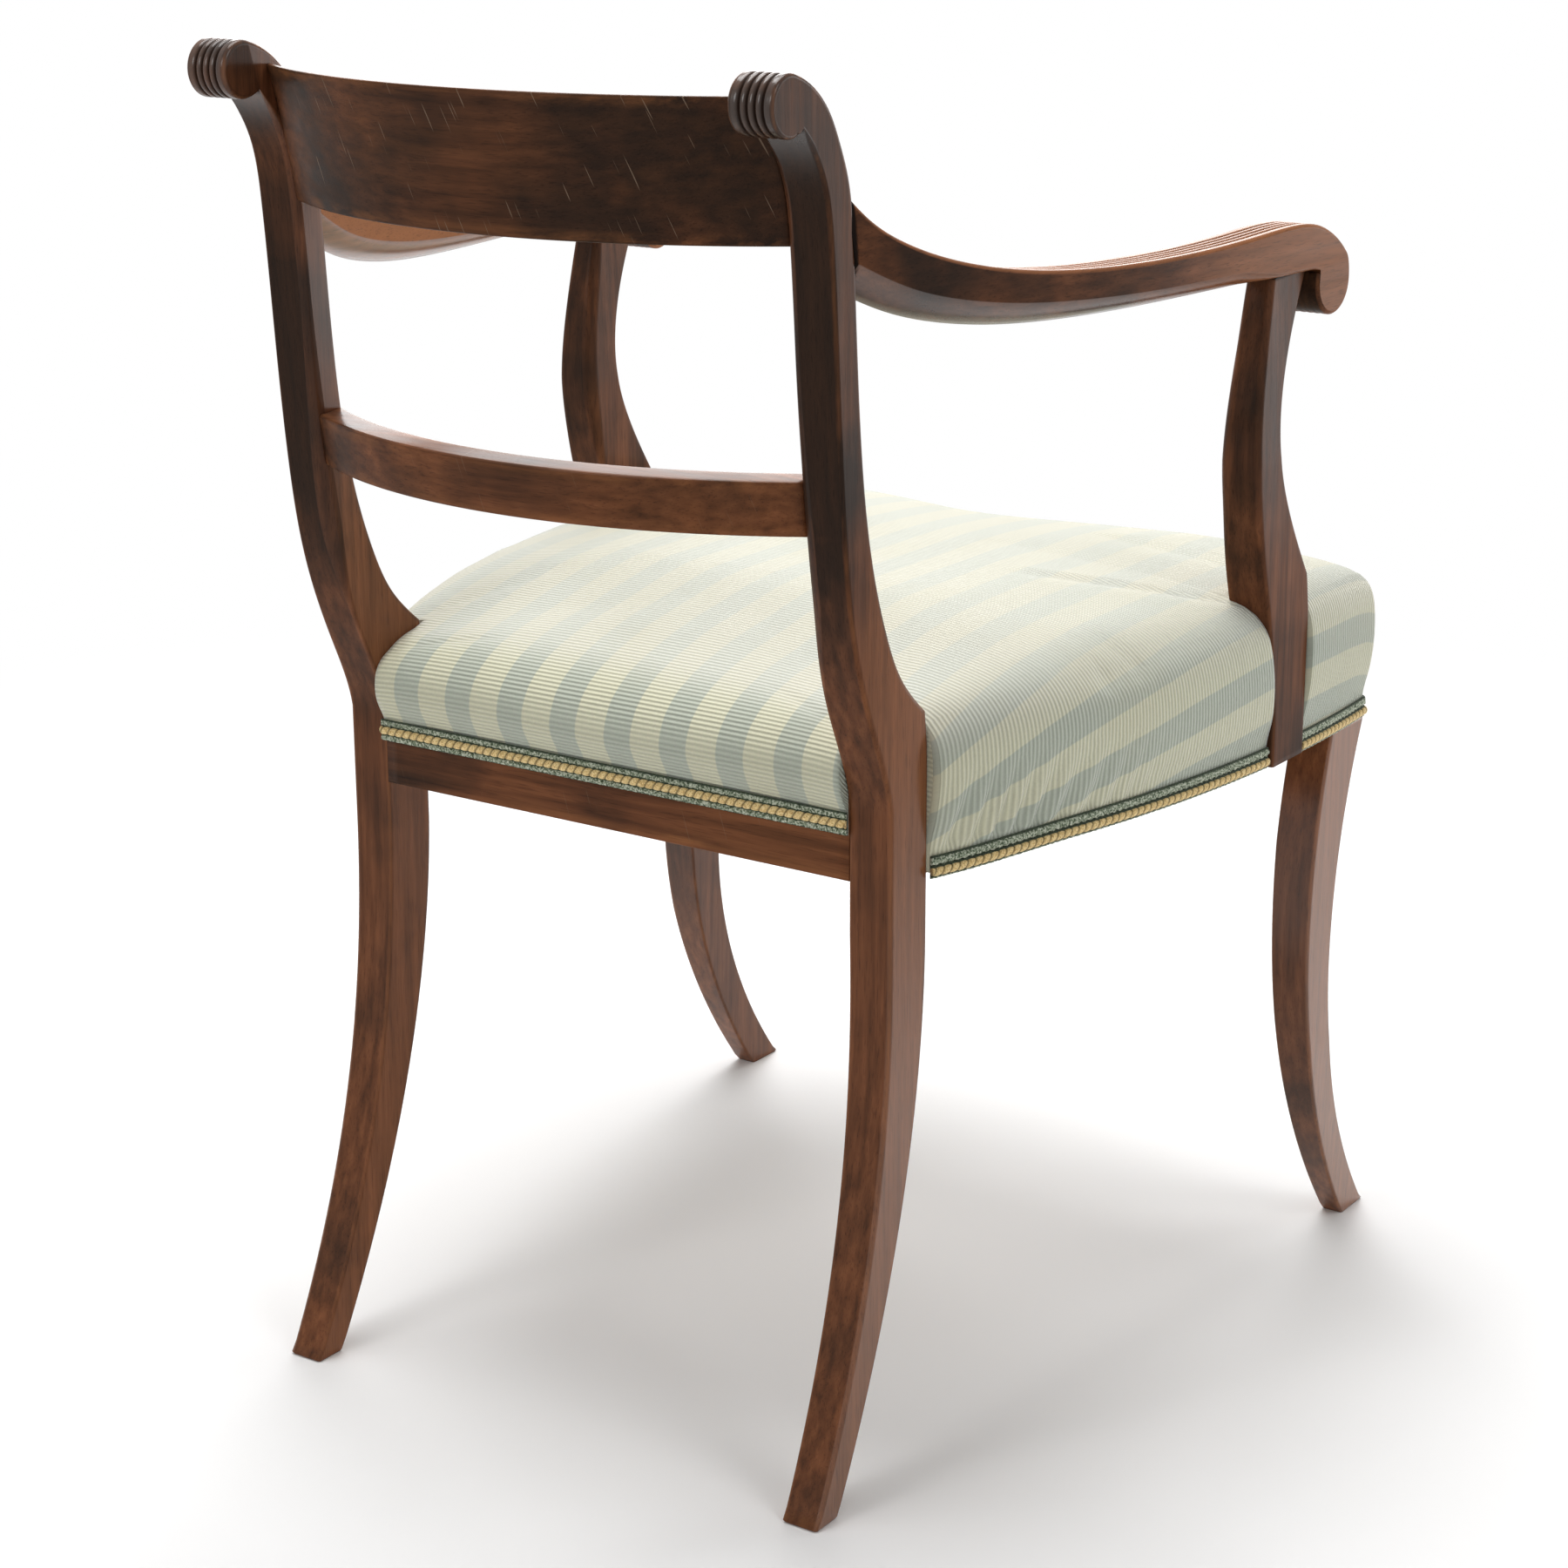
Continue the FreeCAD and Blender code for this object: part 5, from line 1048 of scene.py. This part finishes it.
floorMesh = bpy.data.meshes.new("studio_floor")
f = studio["floor"]
floorMesh.from_pydata([(-f, -f, 0), (f, -f, 0), (f, f, 0), (-f, f, 0)], [], [(0, 1, 2, 3)])
floor = bpy.data.objects.new("studio_floor", floorMesh)
scene.collection.objects.link(floor)
material, tree = newMaterial("studio_floor_pale")
coord = addNode(tree, "TexCoord")
distance = addNode(tree, "VectorMath", {"operation": "LENGTH"}, {0: coord.outputs["Object"]})
away = addNode(tree, "MapRange", {"interpolation_type": "SMOOTHSTEP", "From Min": studio["fadeFrom"],
                                  "From Max": studio["fadeTo"]}, {"Value": distance.outputs["Value"]})
share = addNode(tree, "Math", {"operation": "MULTIPLY"}, {0: seenShare(tree), 1: away})
paper = addNode(tree, "BsdfDiffuse", {"Color": hexLinear(studio["paper"])})
white = addNode(tree, "Emission", {"Color": (1, 1, 1, 1), "Strength": 1.0})
both = addNode(tree, "MixShader", None, {0: share, 1: paper, 2: white})
addNode(tree, "OutputMaterial", None, {"Surface": both})
floorMesh.materials.append(material)

world = bpy.data.worlds.new("studio_white")
scene.world = world
world.use_nodes = True
tree = world.node_tree
tree.nodes.clear()
strength = addNode(tree, "MapRange", {"To Min": studio["world"]}, {"Value": seenShare(tree)})
sky = addNode(tree, "Background", {"Color": (1, 1, 1, 1)}, {"Strength": strength})
addNode(tree, "OutputWorld", None, {"Surface": sky})

softboxes = {"front_softbox": ((1.35, -2.0, 1.5), (0, 0, 0.45), 2.2, 48),  # place, aim, size and watts
             "overhead_softbox": ((0.3, -0.2, 2.5), (0, 0, 0.45), 1.5, 46),
             "low_side_softbox": ((-1.5, -2.1, 0.5), (0, 0, 0.4), 1.2, 14),
             "side_softbox": ((-2.3, 0.3, 2.3), (0, 0, 0.4), 1.2, 15),
             "rear_softbox": ((0.7, 2.7, 2.0), (0, 0.2, 0.6), 1.2, 20)}
for name, (place, aim, size, power) in softboxes.items():
    lamp = bpy.data.lights.new(name, "AREA")
    lamp.shape, lamp.size, lamp.energy = "DISK", size, power
    light = bpy.data.objects.new(name, lamp)
    light.location = place
    light.rotation_euler = (Vector(aim) - Vector(place)).to_track_quat("-Z", "Y").to_euler()
    scene.collection.objects.link(light)

view = {"place": (-1.1958, 1.74145, 1.0040), "yaw": 34.07, "pitch": 16.97, "lens": 76.7, "sensor": 36,
        "shift": (-40 / 1800, -6 / 1800)}
camera = bpy.data.objects.new("camera", bpy.data.cameras.new("camera"))
scene.collection.objects.link(camera)
yaw, pitch = math.radians(view["yaw"]), math.radians(view["pitch"])
aim = Vector((math.sin(yaw) * math.cos(pitch), -math.cos(yaw) * math.cos(pitch), -math.sin(pitch)))
camera.location = view["place"]
camera.rotation_euler = aim.to_track_quat("-Z", "Y").to_euler()
camera.data.lens, camera.data.sensor_width = view["lens"], view["sensor"]
camera.data.shift_x, camera.data.shift_y = view["shift"]
scene.camera = camera
